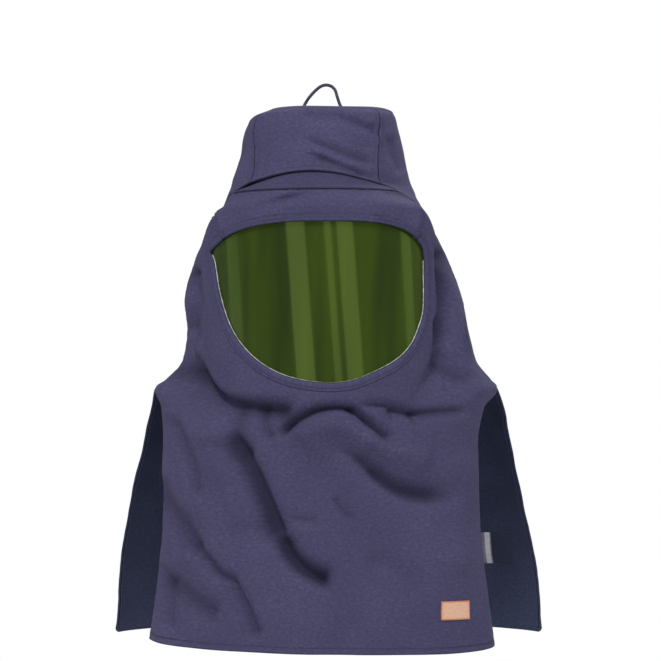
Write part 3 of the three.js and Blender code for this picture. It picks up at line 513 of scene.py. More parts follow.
def panel(
    name, surface, us, vs, edge, wall,
    keep=None, uv=None, worn=None, lines=(), rim=None, hollow=None, seam=None,
):  # fmt: skip
    """A closed sheet. surface takes two grids of parameters; edge gives the distance from the
    border, where the sheet rounds off; keep tells which cells stay; uv unrolls the sheet.
    worn says where it is rubbed pale; lines, hollow and seam say where shade is painted. Where
    rim is given, the inner face and that width of the outer face's border take the second
    material."""
    u, v = np.meshgrid(us, vs)
    rows, cols = u.shape
    p, n = normals_of(surface, u, v, (us[-1] - us[0]) / 3000, (vs[-1] - vs[0]) / 3000)
    d = edge(u, v)
    half = wall / 2
    thick = half * np.sqrt(np.clip(1 - (1 - np.clip(d / half, 0, 1)) ** 2, 0, 1))
    rim_at = np.zeros((rows, cols), bool)
    rim_at[[0, -1], :] = rim_at[:, [0, -1]] = True
    thick[rim_at] = 0
    outer = np.arange(rows * cols).reshape(rows, cols)
    inner = np.where(rim_at, outer, 0)
    inner[~rim_at] = rows * cols + np.arange(np.count_nonzero(~rim_at))
    lift = n * thick[..., None]
    verts = np.vstack([(p + lift).reshape(-1, 3), (p - lift)[~rim_at]])
    flat = uv(u, v)
    uvs = np.vstack([flat.reshape(-1, 2), flat[~rim_at]])
    wear = np.exp(-d / 2.2) if worn is None else worn(u, v)
    wears = np.concatenate([wear.ravel(), wear[~rim_at]])
    # painted shade: dark along the border's seam groove, along rows of stitching and where hollow
    # says
    shade = bell(d if seam is None else seam(u, v), 1.3)
    for place_of_line, depth in lines:
        shade = np.maximum(shade, depth * bell(place_of_line(u, v), 1.2))
    if hollow is not None:
        shade = np.maximum(shade, 0.85 * hollow(u, v))
    shades = np.concatenate([shade.ravel(), shade[~rim_at] * 0])
    kept = np.ones((rows - 1, cols - 1), bool)
    if keep is not None:
        kept = keep((u[1:, 1:] + u[:-1, :-1]) / 2, (v[1:, 1:] + v[:-1, :-1]) / 2)
    quad = lambda g: np.stack([g[:-1, :-1], g[1:, :-1], g[1:, 1:], g[:-1, 1:]], -1)[kept]
    a, b = quad(outer), quad(inner)[:, ::-1]
    faces = a.tolist() + b.tolist()
    for j, i in np.argwhere(kept):
        for dj, di, (j0, i0), (j1, i1) in BESIDE:
            y, x = j + dj, i + di
            if 0 <= y < rows - 1 and 0 <= x < cols - 1 and not kept[y, x]:
                s, t = (j + j0, i + i0), (j + j1, i + i1)
                faces.append([outer[s], outer[t], inner[t], inner[s]])
    used = np.zeros(len(verts), bool)
    used[np.concatenate([a.ravel(), b.ravel()])] = True
    number = np.cumsum(used) - 1
    faces = [[int(number[k]) for k in f] for f in faces]
    values = {"worn": wears[used], "shade": shades[used]}
    obj = mesh_object(name, verts[used], faces, uvs[used], values)
    if rim is not None:
        second = np.ones(len(faces), np.int32)
        second[: len(a)] = (d[1:, 1:] + d[:-1, :-1])[kept] / 2 < rim
        obj.data.polygons.foreach_set("material_index", second)
    return obj


# What a place function gives after the angle and z: the distances to these edges
SIDE, FOOT, TOP = 2, 3, 4


def sewn(name, at, surface, us, vs, uv_radius, worn=None, rows=(), wall=CLOTH, **more):
    """A panel whose place function `at` gives its distances. worn is a width and the edges that
    it is counted from; each row of stitching is an edge, its distance and its painted shade."""

    def nearest(edges):
        return lambda u, v: np.minimum.reduce([at(u, v)[k] for k in edges])

    if worn is not None:
        reach, edges = worn
        more["worn"] = lambda u, v: np.exp(-nearest(edges)(u, v) / reach)
    more["uv"] = lambda u, v: np.stack([at(u, v)[0] * uv_radius, at(u, v)[1]], -1)
    lines = [(lambda u, v, k=k, far=far: at(u, v)[k] - far, dark) for k, far, dark in rows]
    return panel(name, surface, us, vs, nearest((SIDE, FOOT, TOP)), wall, lines=lines, **more)


def rectangle(wide, high):
    """The distance to the border, and the UVs, of a plain rectangular piece."""
    edge = lambda u, v: np.minimum(from_sides(u) * wide, from_sides(v) * high)
    return edge, lambda u, v: np.stack([u * wide, v * high], -1)


def solid_faces(count, corners):
    """Faces round and at both ends of a solid made of rings of corners."""
    faces = []
    for first in range(0, (count - 1) * corners, corners):
        for i in range(corners):
            m = (i + 1) % corners
            faces.append([first + i, first + m, first + corners + m, first + corners + i])
    ends = [list(range(corners))[::-1], [(count - 1) * corners + i for i in range(corners)]]
    return faces + ends


def tube(name, rings, shade=None):
    """A solid from rings of corners along a line; shade gives the shade painted at each corner.
    """
    rings = np.asarray(rings)
    count, corners = rings.shape[:2]
    wide = np.linspace(0, 1, corners) * 12
    uvs = np.stack(np.meshgrid(wide, run_of(rings[:, 0])), -1).reshape(-1, 2)
    dark = np.tile(np.zeros(corners) if shade is None else shade, count)
    values = {"worn": np.zeros(count * corners), "shade": dark}
    return mesh_object(name, rings.reshape(-1, 3), solid_faces(count, corners), uvs, values)


def rings_along(line, ring):
    """Rings of corners along a flat line. ring makes each from its number, its point and the
    direction to the line's right."""
    rings = []
    for j, point in enumerate(line):
        along = line[min(len(line) - 1, j + 1)] - line[max(0, j - 1)]
        along = along / np.linalg.norm(along)
        rings.append(ring(j, point, np.array([along[1], -along[0]])))
    return np.array(rings)


class Stitching:
    """Rows of single stitches, gathered in one mesh."""

    CORNERS = 5
    # share of the length, size and lift of a stitch's rings
    RINGS = ((0, 0.35, -0.12), (0.2, 0.85, 0.06), (0.8, 0.85, 0.06), (1, 0.35, -0.12))

    def __init__(self):
        self.verts, self.faces = [], []

    def row(self, points, normals, pitch=3.1, length=2.3, width=0.62, rise=0.42):
        points, normals = np.asarray(points, float), np.asarray(normals, float)
        run = run_of(points)
        at = lambda s, of: np.stack([np.interp(s, run, of[:, k]) for k in range(3)], -1)
        for s in np.arange(pitch, run[-1] - pitch, pitch):
            s = s + rng.uniform(-0.12, 0.12)
            a, b = at(s - length / 2, points), at(s + length / 2, points)
            up = at(s, normals)
            along = (b - a) / max(np.linalg.norm(b - a), 1e-6)
            cross = np.cross(up, along)
            first = len(self.verts)
            for t, size, lift in self.RINGS:
                c = a + (b - a) * t + up * lift
                for k in range(self.CORNERS):
                    turn = 2 * math.pi * k / self.CORNERS
                    sideways = cross * (math.cos(turn) * width / 2 * size)
                    self.verts.append(c + sideways + up * (math.sin(turn) * rise * size))
            for face in solid_faces(len(self.RINGS), self.CORNERS):
                self.faces.append([first + k for k in face])

    def on(self, surface, us, vs, wall, **kind):
        us, vs = np.broadcast_arrays(np.asarray(us, float), np.asarray(vs, float))
        p, n = normals_of(surface, us, vs, 1e-3, 1e-3)
        self.row(p + n * (wall / 2), n, **kind)

    def build(self, name, material):
        return material_slot(mesh_object(name, np.array(self.verts), self.faces), material)


# ---- materials
def rgb(r, g, b):
    line = lambda c: c / 12.92 if c <= 0.04045 else ((c + 0.055) / 1.055) ** 2.4
    return (line(r / 255), line(g / 255), line(b / 255), 1)


class Tree:
    """A shader node tree, with short ways to add nodes and join them."""

    def __init__(self, owner):
        owner.use_nodes = True
        self.tree = owner.node_tree
        self.tree.nodes.clear()

    def put(self, socket, value):
        """A value into a socket, or a link from another socket."""
        if isinstance(value, bpy.types.NodeSocket):
            self.tree.links.new(value, socket)
        else:
            socket.default_value = value

    def add(self, kind, sockets=None, **settings):
        node = self.tree.nodes.new("ShaderNode" + kind)
        for key, value in settings.items():
            setattr(node, key, value)
        for key, value in (sockets or {}).items():
            self.put(node.inputs[key], value)
        return node

    def attribute(self, name):
        return self.add("Attribute", attribute_name=name).outputs["Fac"]

    def uv(self):
        return self.add("UVMap", uv_map="UVMap").outputs[0]

    def noise(self, vector, scale, detail=3, roughness=0.55, stretch=None):
        if stretch is not None:
            vector = self.add("Mapping", {"Vector": vector, "Scale": stretch}).outputs[0]
        sockets = {"Vector": vector, "Scale": scale, "Detail": detail, "Roughness": roughness}
        return self.add("TexNoise", sockets).outputs["Fac"]

    def wave(self, vector, scale, direction, distortion):
        sockets = {"Vector": vector, "Scale": scale, "Distortion": distortion, "Detail": 1}
        node = self.add("TexWave", sockets, wave_type="BANDS", bands_direction=direction)
        return node.outputs["Fac"]

    def maths(self, operation, *values):
        return self.add("Math", dict(enumerate(values)), operation=operation).outputs[0]

    def times(self, a, b):
        return self.maths("MULTIPLY", a, b)

    def plus(self, a, share, b):
        """A share of a, added to b."""
        return self.maths("MULTIPLY_ADD", a, share, b)

    def ramp(self, fac, stops):
        node = self.add("ValToRGB", {0: fac})
        elements = node.color_ramp.elements
        while len(elements) < len(stops):
            elements.new(0.5)
        for element, (position, colour) in zip(elements, stops):
            element.position, element.color = position, colour
        return node.outputs[0]

    def blend(self, fac, a, b):
        return self.add("Mix", {0: fac, 6: a, 7: b}, data_type="RGBA").outputs[2]


class Surface(Tree):
    """A material with one Principled shader."""

    def __init__(self, name):
        self.material = bpy.data.materials.new(name)
        super().__init__(self.material)
        self.shader = self.add("BsdfPrincipled")
        self.out = self.add("OutputMaterial", {0: self.shader.outputs[0]})

    def set(self, **values):
        for key, value in values.items():
            self.put(self.shader.inputs[key.replace("_", " ")], value)

    def bump(self, height, distance):
        node = self.add("Bump", {"Strength": 1, "Distance": distance, "Height": height})
        self.set(Normal=node.outputs[0])


def scaled(colour, factor):
    return tuple(c * factor for c in colour[:3]) + (1,)


# Wave texture scale that gives one band in a pitch of 1 m, along an axis and diagonally
BAND, DIAGONAL_BAND = 0.314, 0.444


def cloth_material(name, dark, base, light, pitch=0.0011, sheen=0.12, wear=0.3):
    """A brushed twill: diagonal ribs, fine threads, mottled dye, worn seam edges and painted
    shade.
    """
    m = Surface(name)
    uv = m.uv()
    twill = m.wave(uv, DIAGONAL_BAND / pitch, "DIAGONAL", 0.5)
    warp = m.wave(uv, BAND / (pitch * 0.62), "X", 0.3)
    fuzz = m.noise(uv, 1500, 2)
    slub = m.noise(uv, 420, 3, 0.6, (0.35, 1, 1))
    mottle = m.noise(uv, 240, 5, 0.7)
    fade = m.noise(uv, 9, 2)
    tone = m.plus(mottle, 0.55, m.times(fade, 0.22))
    tone = m.plus(slub, 0.4, tone)
    tone = m.plus(m.maths("SUBTRACT", twill, 0.5), 0.07, tone)
    colour = m.ramp(tone, [(0.36, dark), (0.585, base), (0.8, light)])
    patchy = m.times(m.attribute("worn"), m.plus(m.noise(uv, 260), 0.9, 0.1))
    colour = m.blend(m.times(patchy, wear), colour, light)
    # painted shade: the colour darkens towards a deep navy where the shade attribute marks seams,
    # stitch rows, fold bottoms and overhangs
    colour = m.blend(m.times(m.attribute("shade"), 0.72), colour, scaled(dark, 0.3))
    m.set(Base_Color=colour, Roughness=m.plus(slub, 0.12, 0.82), Specular_IOR_Level=0.12)
    m.set(Sheen_Weight=sheen, Sheen_Roughness=0.5, Sheen_Tint=light)
    height = m.plus(twill, 0.55, m.times(warp, 0.22))
    height = m.plus(mottle, 0.9, m.plus(fuzz, 0.5, height))
    m.bump(height, 0.00022)
    return m.material


def thread_material(name, colour):
    m = Surface(name)
    strands = m.noise(m.add("TexCoord").outputs["Object"], 900, 2)
    colour = m.blend(strands, colour, scaled(colour, 1.5))
    m.set(Base_Color=colour, Roughness=0.6, Specular_IOR_Level=0.3)
    m.bump(strands, 0.0001)
    return m.material


def visor_material():
    """Green polycarbonate with faint dust and wipe marks, and a slight twist that leans what it
    mirrors."""
    m = Surface("green_window")
    uv = m.uv()
    cloud = m.noise(uv, 24, 2, 0.5, (1, 0.1, 1))
    colour = m.ramp(cloud, [(0.38, rgb(32, 45, 18)), (0.62, rgb(46, 61, 18))])
    dust = m.noise(uv, 700)
    wipe = m.noise(uv, 60, 3, 0.6, (0.25, 1, 1))
    m.set(Base_Color=colour, Roughness=m.plus(wipe, 0.05, m.plus(dust, 0.03, 0.05)))
    m.set(Specular_IOR_Level=0.5, Specular_Tint=rgb(200, 226, 116))
    m.set(Transmission_Weight=0.12, IOR=1.5)
    across, up = m.add("SeparateXYZ", {0: uv}).outputs[:2]
    m.bump(m.times(across, m.maths("SUBTRACT", -0.26, up)), 0.46)
    return m.material


def leather_material():
    m = Surface("patch_leather")
    uv = m.uv()
    grain = m.add("TexVoronoi", {"Scale": 1300, "Vector": uv}).outputs["Distance"]
    mottle = m.noise(uv, 420, 4)
    tans = [(0.35, rgb(182, 139, 114)), (0.5, rgb(189, 148, 124)), (0.65, rgb(194, 157, 134))]
    colour = m.blend(m.times(m.attribute("worn"), 0.95), m.ramp(mottle, tans), rgb(150, 86, 58))
    m.set(Base_Color=colour, Roughness=m.plus(mottle, 0.2, 0.5), Specular_IOR_Level=0.35)
    m.bump(m.plus(grain, 0.6, m.times(mottle, 0.5)), 0.0004)
    return m.material


def satin_material(name, dark, light, pitch=0.0005):
    m = Surface(name)
    uv = m.uv()
    rib = m.wave(uv, BAND / pitch, "Y", 0.2)
    tone = m.plus(rib, 0.35, m.times(m.noise(uv, 160), 0.65))
    colour = m.ramp(tone, [(0.25, dark), (0.75, light)])
    m.set(Base_Color=colour, Roughness=0.55, Specular_IOR_Level=0.12)
    m.bump(rib, 0.0001)
    return m.material


def trim_material():
    m = Surface("window_edge")
    worn = m.noise(m.add("TexCoord").outputs["Object"], 220, 4)
    colour = m.ramp(worn, [(0.35, rgb(112, 116, 106)), (0.6, rgb(172, 178, 168))])
    m.set(Base_Color=colour, Roughness=0.55)
    m.bump(worn, 0.0002)
    return m.material


TWILL = cloth_material("navy_twill", rgb(48, 46, 70), rgb(59, 56, 82), rgb(75, 72, 101))
NAVY = cloth_material(
    "navy_lining", rgb(46, 50, 70), rgb(54, 59, 82), rgb(68, 73, 98), pitch=0.0008, sheen=0.06
)
TAPE = cloth_material(
    "loop_tape", rgb(46, 46, 60), rgb(62, 62, 78), rgb(98, 98, 112), pitch=0.0007, wear=0.5
)
THREAD = thread_material("navy_thread", rgb(50, 48, 72))
PALE_THREAD = thread_material("tan_thread", rgb(186, 134, 100))
WINDOW_MAT, LEATHER, TRIM = visor_material(), leather_material(), trim_material()
LABEL = satin_material("label_grey", rgb(78, 77, 90), rgb(108, 107, 119))
STRIP = satin_material("label_pale", rgb(128, 129, 136), rgb(166, 167, 174))
FLAG = satin_material("flag_navy", rgb(17, 21, 36), rgb(24, 29, 47))


# ---- the cloth pieces
def hem_relief(d, wide=10.4, stitch=8, rise=0.55, groove=0.5):
    """Height over the bare cloth near a turned and stitched edge."""
    return rise * smooth((wide - d) / 1.6) - groove * bell(d - stitch, 0.9)


def seam_relief(d, wide=7.2, stitch=4.8, rise=0.5, groove=0.4):
    return hem_relief(d, wide, stitch, rise, groove)


def seam_pucker(d, along, reach=9):
    return pucker.at(along, d * 0.4) * bell(d, reach) * smooth(d / 1.5)


def free_edge(side, hem, z):
    """How far a place is below the shoulder, from 0 to 1, and its distance to a free edge."""
    below = smooth((SHOULDER_Z + 6 - z) / 12)
    return below, np.minimum(np.where(below > 0.5, side, 999), hem)


def clipped(place_of):
    """A place function held at its borders."""
    return lambda share, v: place_of(np.clip(share, 0, 1), np.clip(v, 0, 1))


# Each place function gives the angle, z and the distances to the side, the foot and the top
def front_place(share, v):
    share, v = np.clip(share, -1, 1), np.clip(v, 0, 1)
    top = top_seam_z(share * np.radians(np.where(share < 0, EDGE_LEFT, EDGE_RIGHT))) - 0.25
    foot = HEM_Z + 7 * smooth(-share) - 3 * smooth(share)
    foot = foot + corner_cut(HEM_ROUND, (1 - np.abs(share)) * HALF_FRONT)
    z = mix(top, foot, v)
    section = front_sections(BASE_Z - z)
    # sewn shut above the shoulder, free below it
    meets = mix(-0.001, 0.0026, smooth((z - SHOULDER_Z + 4) / 8))
    edge = np.radians(np.where(share < 0, section[5], section[6])) + meets
    return share * edge, z, (1 - np.abs(share)) * edge * FRONT_SIDE_R, z - foot, top - z


def front_surface(share, v):
    angle, z, side, hem, top = front_place(share, v)
    below, free = free_edge(side, hem, z)
    relief = hem_relief(free) + seam_relief(side) * (1 - below) + 0.3 * hem_relief(top, 7, 4.6)
    relief = relief + seam_pucker(hem, angle * 200) + seam_pucker(side, z) * 0.9
    # the free side edges curl a little and hold no folds
    curl = -3.2 * np.exp(-side / 9) * below
    return body_point(FRONT, angle, z, relief + curl, 1 - 0.85 * below * (1 - smooth(side / 34)))


u_line = np.array(WINDOW)
u_side = np.where(u_line[:, 0] < 0, WINDOW_LEFT, WINDOW_RIGHT)
u_line[:, 0] = np.radians(u_line[:, 0] * u_side) * CLOTH_R
u_line[:, 1] = -WINDOW_TOP - u_line[:, 1] * WINDOW_H
window_line = spline(u_line, 260)
BROW_END = (window_line[0, 0] / CLOTH_R, window_line[-1, 0] / CLOTH_R)
BROW_TOP = (-math.radians(60), math.radians(51))
BROW_END_Z = -WINDOW_TOP - BROW_DROP


def brow_edge_z(angle):
    end = np.where(angle < 0, BROW_END[0], BROW_END[1])
    power = np.where(angle < 0, 2.8, 3.8)
    return -WINDOW_TOP - BROW_DROP * np.clip(angle / end, 0, 1) ** power


def brow_side(end, z):
    return mix(BROW_TOP[end], BROW_END[end], (BASE_Z - z) / (BASE_Z - BROW_END_Z))


def in_polygon(x, z, polygon):
    inside = np.zeros(np.broadcast(x, z).shape, bool)
    for (x0, z0), (x1, z1) in zip(polygon, np.roll(polygon, -1, axis=0)):
        crosses = (z0 > z) != (z1 > z)
        inside ^= crosses & (x < (x1 - x0) * (z - z0) / (z1 - z0 + 1e-12) + x0)
    return inside


def shifted(line, distance):
    """A flat line moved sideways: to its left where distance is above 0."""
    along = np.gradient(line, axis=0)
    along /= np.linalg.norm(along, axis=1, keepdims=True)
    return line + np.stack([-along[:, 1], along[:, 0]], -1) * distance


def opening_polygon(beyond):
    """The hole in the front cloth, larger than the window by `beyond`."""
    u = shifted(window_line, -beyond)
    z = np.linspace(BASE_Z + 20, BROW_END_Z, 12)
    left, right = (
        np.stack([brow_side(end, z) * CLOTH_R + lap, z], -1) for end, lap in ((0, 6), (1, -6))
    )
    return np.vstack([left, u, right[::-1]])


hole = opening_polygon(5.2)


def keep_front(share, v):
    angle, z = front_place(share, v)[:2]
    return ~in_polygon(angle * CLOTH_R, z, hole)


def under_pouch(angle, top):
    """Shade under the pouch's overhang on the right of the brow."""
    across = smooth((angle - 0.5) / 0.3) * smooth((1.3 - angle) / 0.3)
    return 0.9 * bell(top, 9) * across


# painted shade in fold bottoms and under the pouch's overhang
def front_shade(share, v):
    angle, z = front_place(share, v)[:2]
    return np.maximum(valley(FRONT, angle, z), under_pouch(angle, top_seam_z(angle) - z))


front = sewn(
    "front_bib",
    front_place,
    front_surface,
    np.sort(1 - spaced(2 * HALF_FRONT, 3.1) / HALF_FRONT),
    parts(BODY_H, 3.15),
    BODY_UV,
    (3.0, (SIDE, FOOT)),
    [(FOOT, HEM_STITCH, 0.5), (SIDE, HEM_STITCH, 0.3)],
    keep=keep_front,
    hollow=front_shade,
)
material_slot(front, TWILL)
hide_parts("front_panel")

# Facing: a folded strip that wraps the cut edge of the U. Each corner of its section is its
# distance from the edge and its height over the cloth's middle; the stitching lies in GROOVE
PROFILE = [
    (11.6, 1.0), (11.3, 1.9), (10.7, 2.25), (9.6, 2.35), (8.4, 2.3), (7.4, 1.95), (6.4, 2.3),
    (4.5, 2.5), (2.6, 2.5), (1.3, 2.25), (0.45, 1.6), (0.05, 0.7), (0.05, -0.6), (0.5, -1.4),
    (1.4, -1.75), (4, -1.8), (9, -1.75), (11.4, -1.5), (11.7, -0.6),
]  # fmt: skip
# painted shade at each corner of the section: dark at the outer edge and in the stitched groove
PROFILE_SHADE = [1, 1, 0.45, 0, 0.1, 0.7, 0.1] + [0] * 12
GROOVE = 5


def facing_ring(j, point, out):
    ring = []
    for far, high in PROFILE:
        x, z = point + out * far
        wave = 0.25 * math.sin(j * 1.9) * math.exp(-((far - PROFILE[GROOVE][0]) ** 2) / 6)
        ring.append(place(x / CLOTH_R, CLOTH_R + high + wave, z))
    return ring


facing_rings = rings_along(window_line, facing_ring)
facing = tube("window_facing", facing_rings, PROFILE_SHADE)
material_slot(facing, TWILL)


# Back
def back_side_r(down):
    """The radius that distances to the back's sides are counted at."""
    return mix(150, 225, smooth(down / 300))


@clipped
def back_place(share, v):
    start = mix(math.radians(EDGE_RIGHT), 2 * math.pi - math.radians(EDGE_LEFT), share)
    top = top_seam_z(start) - 0.25
    foot = HEM_Z - BACK_DROP * (1 - (1 - 2 * share) ** 2)
    foot = foot + corner_cut(HEM_ROUND, from_sides(share) * BACK_W)
    z = mix(top, foot, v)
    section = back_sections(BASE_Z - z)
    a, b = np.radians(section[6]), 2 * math.pi - np.radians(section[5])
    side = from_sides(share) * (b - a) * back_side_r(BASE_Z - z)
    return mix(a + 0.001, b - 0.001, share), z, side, z - foot, top - z


def back_surface(share, v):
    angle, z, side, hem, top = back_place(share, v)
    relief = hem_relief(free_edge(side, hem, z)[1]) + 0.3 * hem_relief(top, 7, 4.6)
    return body_point(BACK, angle, z, relief + seam_pucker(hem, angle * 220))


def back_shade(share, v):
    """Painted shade in fold bottoms, and in the tuck behind the front's seam over the right
    shoulder.
    """
    angle, z = back_place(share, v)[:2]
    tuck = bell(share * BACK_W, 16) * smooth((z + 340) / 30) * smooth((-250 - z) / 40)
    return np.maximum(0.7 * valley(BACK, angle, z), 0.7 * tuck)


back = sewn(
    "back_bib",
    back_place,
    back_surface,
    parts(BACK_W, 3.5),
    parts(BODY_H, 3.5),
    BODY_UV,
    (3.0, (SIDE, FOOT)),
    [(FOOT, HEM_STITCH, 0.5), (SIDE, HEM_STITCH, 0.4)],
    rim=1.6,
    hollow=back_shade,
)
material_slot(back, TWILL)
back.data.materials.append(NAVY)
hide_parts("back_panel")

# Lining: inside the back, between these shares of its height
LINING_TOP, LINING_FOOT = 0.352, 0.9915


def lining_place(share, v):
    return back_place(share, mix(LINING_TOP, LINING_FOOT, v))[:2]


def lining_surface(share, v):
    angle, z = lining_place(share, v)
    return body_point(BACK, angle, z, -(CLOTH / 2 + 0.6 + LINING / 2))


def lining_uv(u, v):
    angle, z = lining_place(u, v)
    return np.stack([angle * BODY_UV, z], -1)


lining = panel(
    "dark_lining",
    lining_surface,
    parts(BACK_W, 5),
    parts(LINING_H, 5),
    rectangle(BACK_W, LINING_H)[0],
    LINING,
    uv=lining_uv,
)
material_slot(lining, NAVY)
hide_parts("back_lining")

# Pouch
SEAM_LEFT, SEAM_RIGHT = math.radians(47.5), math.radians(34)


def lean(angle, v):
    """How far a front seam of the pouch stands out towards its top."""
    if abs(angle - math.pi) < 0.1:
        return 0
    left = angle < 0 or angle > 1.2 * math.pi
    return mix(math.radians(-6.5 if left else 8), 0, smooth(v))


def crown_piece(name, start, end, node):
    wide = abs(end - start) * CROWN_UV

    @clipped
    def at(share, v):
        angle = mix(start + lean(start, v), end + lean(end, v), share)
        edge = crown_edge_z(angle)
        z = mix(CROWN_TOP_Z, edge, v)
        return angle, z, from_sides(share) * wide, z - edge, CROWN_TOP_Z - z

    def surface(share, v):
        angle, z, side, foot, top = at(share, v)
        t = turned(angle)
        # the front's foot stands out over the gusset, most on the left
        lip = 4.2 + 3.5 * smooth((-t - 0.35) / 0.5)
        lip = lip * smooth((np.cos(t) - 0.25) / 0.5) * smooth((1.25 - np.abs(t)) / 0.4)
        relief = seam_relief(side) + 0.8 * hem_relief(foot, 8, FOOT_STITCH)
        relief = relief + 0.3 * hem_relief(top, 6, 4)
        relief = relief + seam_pucker(side, z) + seam_pucker(foot, angle * 120)
        return crown_point(angle, z, relief + lip * np.exp(-foot / 6))

    obj = sewn(
        name,
        at,
        surface,
        parts(wide, 2.7),
        parts(CROWN_H, 2.5),
        CROWN_UV,
        (2.5, (SIDE, FOOT)),
        [(FOOT, FOOT_STITCH, 0.3), (SIDE, SEAM_STITCH, 0.25)],
        # painted shade in the bottoms of the pouch's folds, and along its side and foot seams but
        # not its top
        hollow=lambda u, v: crown_valley(*at(u, v)[:2]),
        seam=lambda u, v: np.minimum(at(u, v)[SIDE], at(u, v)[FOOT]),
    )
    material_slot(obj, TWILL)
    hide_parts(node)
    return obj, surface, wide


crown = [
    crown_piece("crown_front_cloth", -SEAM_LEFT, SEAM_RIGHT, "crown_front"),
    crown_piece("crown_right_cloth", SEAM_RIGHT, math.pi, "crown_side_right"),
    crown_piece("crown_left_cloth", math.pi, 2 * math.pi - SEAM_LEFT, "crown_side_left"),
]


def crown_top_piece():
    """The pouch's top: a disc with a sewn rim, as rings from its middle out and back."""
    n = 180
    angles = np.linspace(0, 2 * math.pi, n + 1)[:-1]
    rim = radius_of(crown_sections(-CROWN_TOP_Z), angles) + CLOTH / 2 + 0.3
    from_rim = np.array([6.6, 5.2, 4.2, 3.4, 2.4, 1.4, 0.6, 0.15, 0])
    shares = np.concatenate([[0.02], np.linspace(0.08, 0.9, 26), 1 - from_rim / RIM_W])
    low, high = [], []
    for share in shares:
        d = (1 - share) * RIM_W
        x = rim * share * np.sin(angles)
        y = AXIS_Y - rim * share * np.cos(angles)
        dome = CROWN_TOP_Z + 0.3 + CROWN_RISE * (1 - share**2) - 1.6 * max(0, 1 - d / 9) ** 2
        relief = 0.5 * float(hem_relief(d, 6.6, 4.4)) + 0.35 * swell.at(x, y) * smooth(d / 12)
        relief = relief + 0.25 * pucker.at(angles * 90, d) * math.exp(-((d - 3) ** 2) / 16)
        half = CLOTH / 2 - 0.8 * float(smooth((7 - d) / 7))
        half *= math.sqrt(max(0, 1 - (1 - min(d / 1.5, 1)) ** 2))
        middle = dome + CLOTH / 2 + relief
        high.append(np.stack([x, y, middle + half], -1))
        low.append(np.stack([x, y, middle - half], -1))
    rings = high + low[-2::-1]
    verts = np.vstack(rings)
    worn = np.exp(-(1 - np.concatenate([shares, shares[-2::-1]])) * RIM_W / 3)
    values = {"worn": np.repeat(worn, n)}
    obj = mesh_object("crown_top_cloth", verts, solid_faces(len(rings), n), verts[:, :2], values)
    material_slot(obj, TWILL)
    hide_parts("crown_top")
    return obj


crown_top = crown_top_piece()


# Gusset under the arched front seam
@clipped
def gusset_place(share, v):
    angle = mix(-CROWN_ENDS[0] * 0.985, CROWN_ENDS[1] * 0.985, share)
    high, low = crown_edge_z(angle) + 3.0, top_seam_z(angle) + 0.4
    tall = high - low
    return angle, mix(high, low, v), from_sides(share) * BROW_W, (1 - v) * tall, v * tall


def gusset_surface(share, v):
    angle, z, _, from_foot, _ = gusset_place(share, v)
    high = np.linalg.norm(from_axis(crown_point(angle, crown_edge_z(angle))), axis=-1) - 4.5
    low = np.linalg.norm(from_axis(body_point(FRONT, angle, top_seam_z(angle))), axis=-1)
    radius = mix(high, low, np.clip(v, 0, 1) ** 1.2)
    lip = 1.9 * bell(from_foot, 3.2)
    return place(angle, radius + lip + seam_pucker(from_foot, angle * 150) * 0.7, z)


gusset = sewn(
    "brow_gusset_cloth",
    gusset_place,
    gusset_surface,
    parts(BROW_W, 2.6),
    parts(26, 1.6, [0, 0.3, 0.9, 1.8]),
    GUSSET_UV,
    # painted shade over the whole gusset, deepest just under the crown's lip
    hollow=lambda u, v: 0.34 + 0.4 * bell(gusset_place(u, v)[TOP], 7),
)
material_slot(gusset, TWILL)
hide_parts("brow_gusset")


# Brow band: laid over the front cloth at its ends, turned and stitched twice along the window
BROW_WALL = CLOTH + 0.6


@clipped
def brow_place(share, v):
    left, right = (
        brow_side(end, mix(top_seam_z(np.array(BROW_TOP[end])), BROW_END_Z, v)) for end in (0, 1)
    )
    angle = mix(left, right, share)
    top, foot = top_seam_z(angle) - 0.6, brow_edge_z(angle)
    z = mix(top, foot, v)
    return angle, z, from_sides(share) * BROW_W, z - foot, top - z


def brow_dent(angle, top, middle, width, down):
    """The slanting dent at the left of the brow, from 0 to 1."""
    across, along = (angle - middle) / width, top - down + (angle + 0.34) * 36
    return np.exp(-(across**2) - (along / 6) ** 2)


def brow_surface(share, v):
    angle, z, side, foot, top = brow_place(share, v)
    groove = (foot - BROW_STITCHES[0]) / 0.8
    relief = 0.7 + hem_relief(foot, 11.5, BROW_STITCHES[1], 0.5, 0.4) - 0.4 * np.exp(-(groove**2))
    relief = relief + 0.4 * seam_relief(side) + 0.4 * hem_relief(top, 6.5, 4.2)
    x = angle * BROW_UV
    relief = relief + seam_pucker(foot, x, 12) * 0.8 + seam_pucker(top, x) * 1.4
    ends = 3.0 * np.exp(-((side - 10) / 6) ** 2) * smooth(foot / 12)
    soft = crumple.at(x, z) * 0.8 + swell.at(x + 60, z) * 0.5
    dent = -8.5 * brow_dent(angle, top, -0.34, 0.18, 14)
    away = smooth(foot / 14) * smooth(top / 10)
    return body_point(FRONT, angle, z, relief + ends + (dent + soft) * away)


# painted shade in the brow's dent and under the pouch's overhang
def brow_shade(share, v):
    angle, _, _, _, top = brow_place(share, v)
    return np.maximum(0.45 * brow_dent(angle, top, -0.36, 0.16, 13), under_pouch(angle, top))


brow = sewn(
    "brow_band_cloth",
    brow_place,
    brow_surface,
    parts(BROW_W, 2.4),
    parts(42, 1.5),
    BROW_UV,
    (2.5, (FOOT,)),
    [(FOOT, up, 0.45) for up in BROW_STITCHES],
    BROW_WALL,
    hollow=brow_shade,
)
material_slot(brow, TWILL)
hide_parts("brow_band")


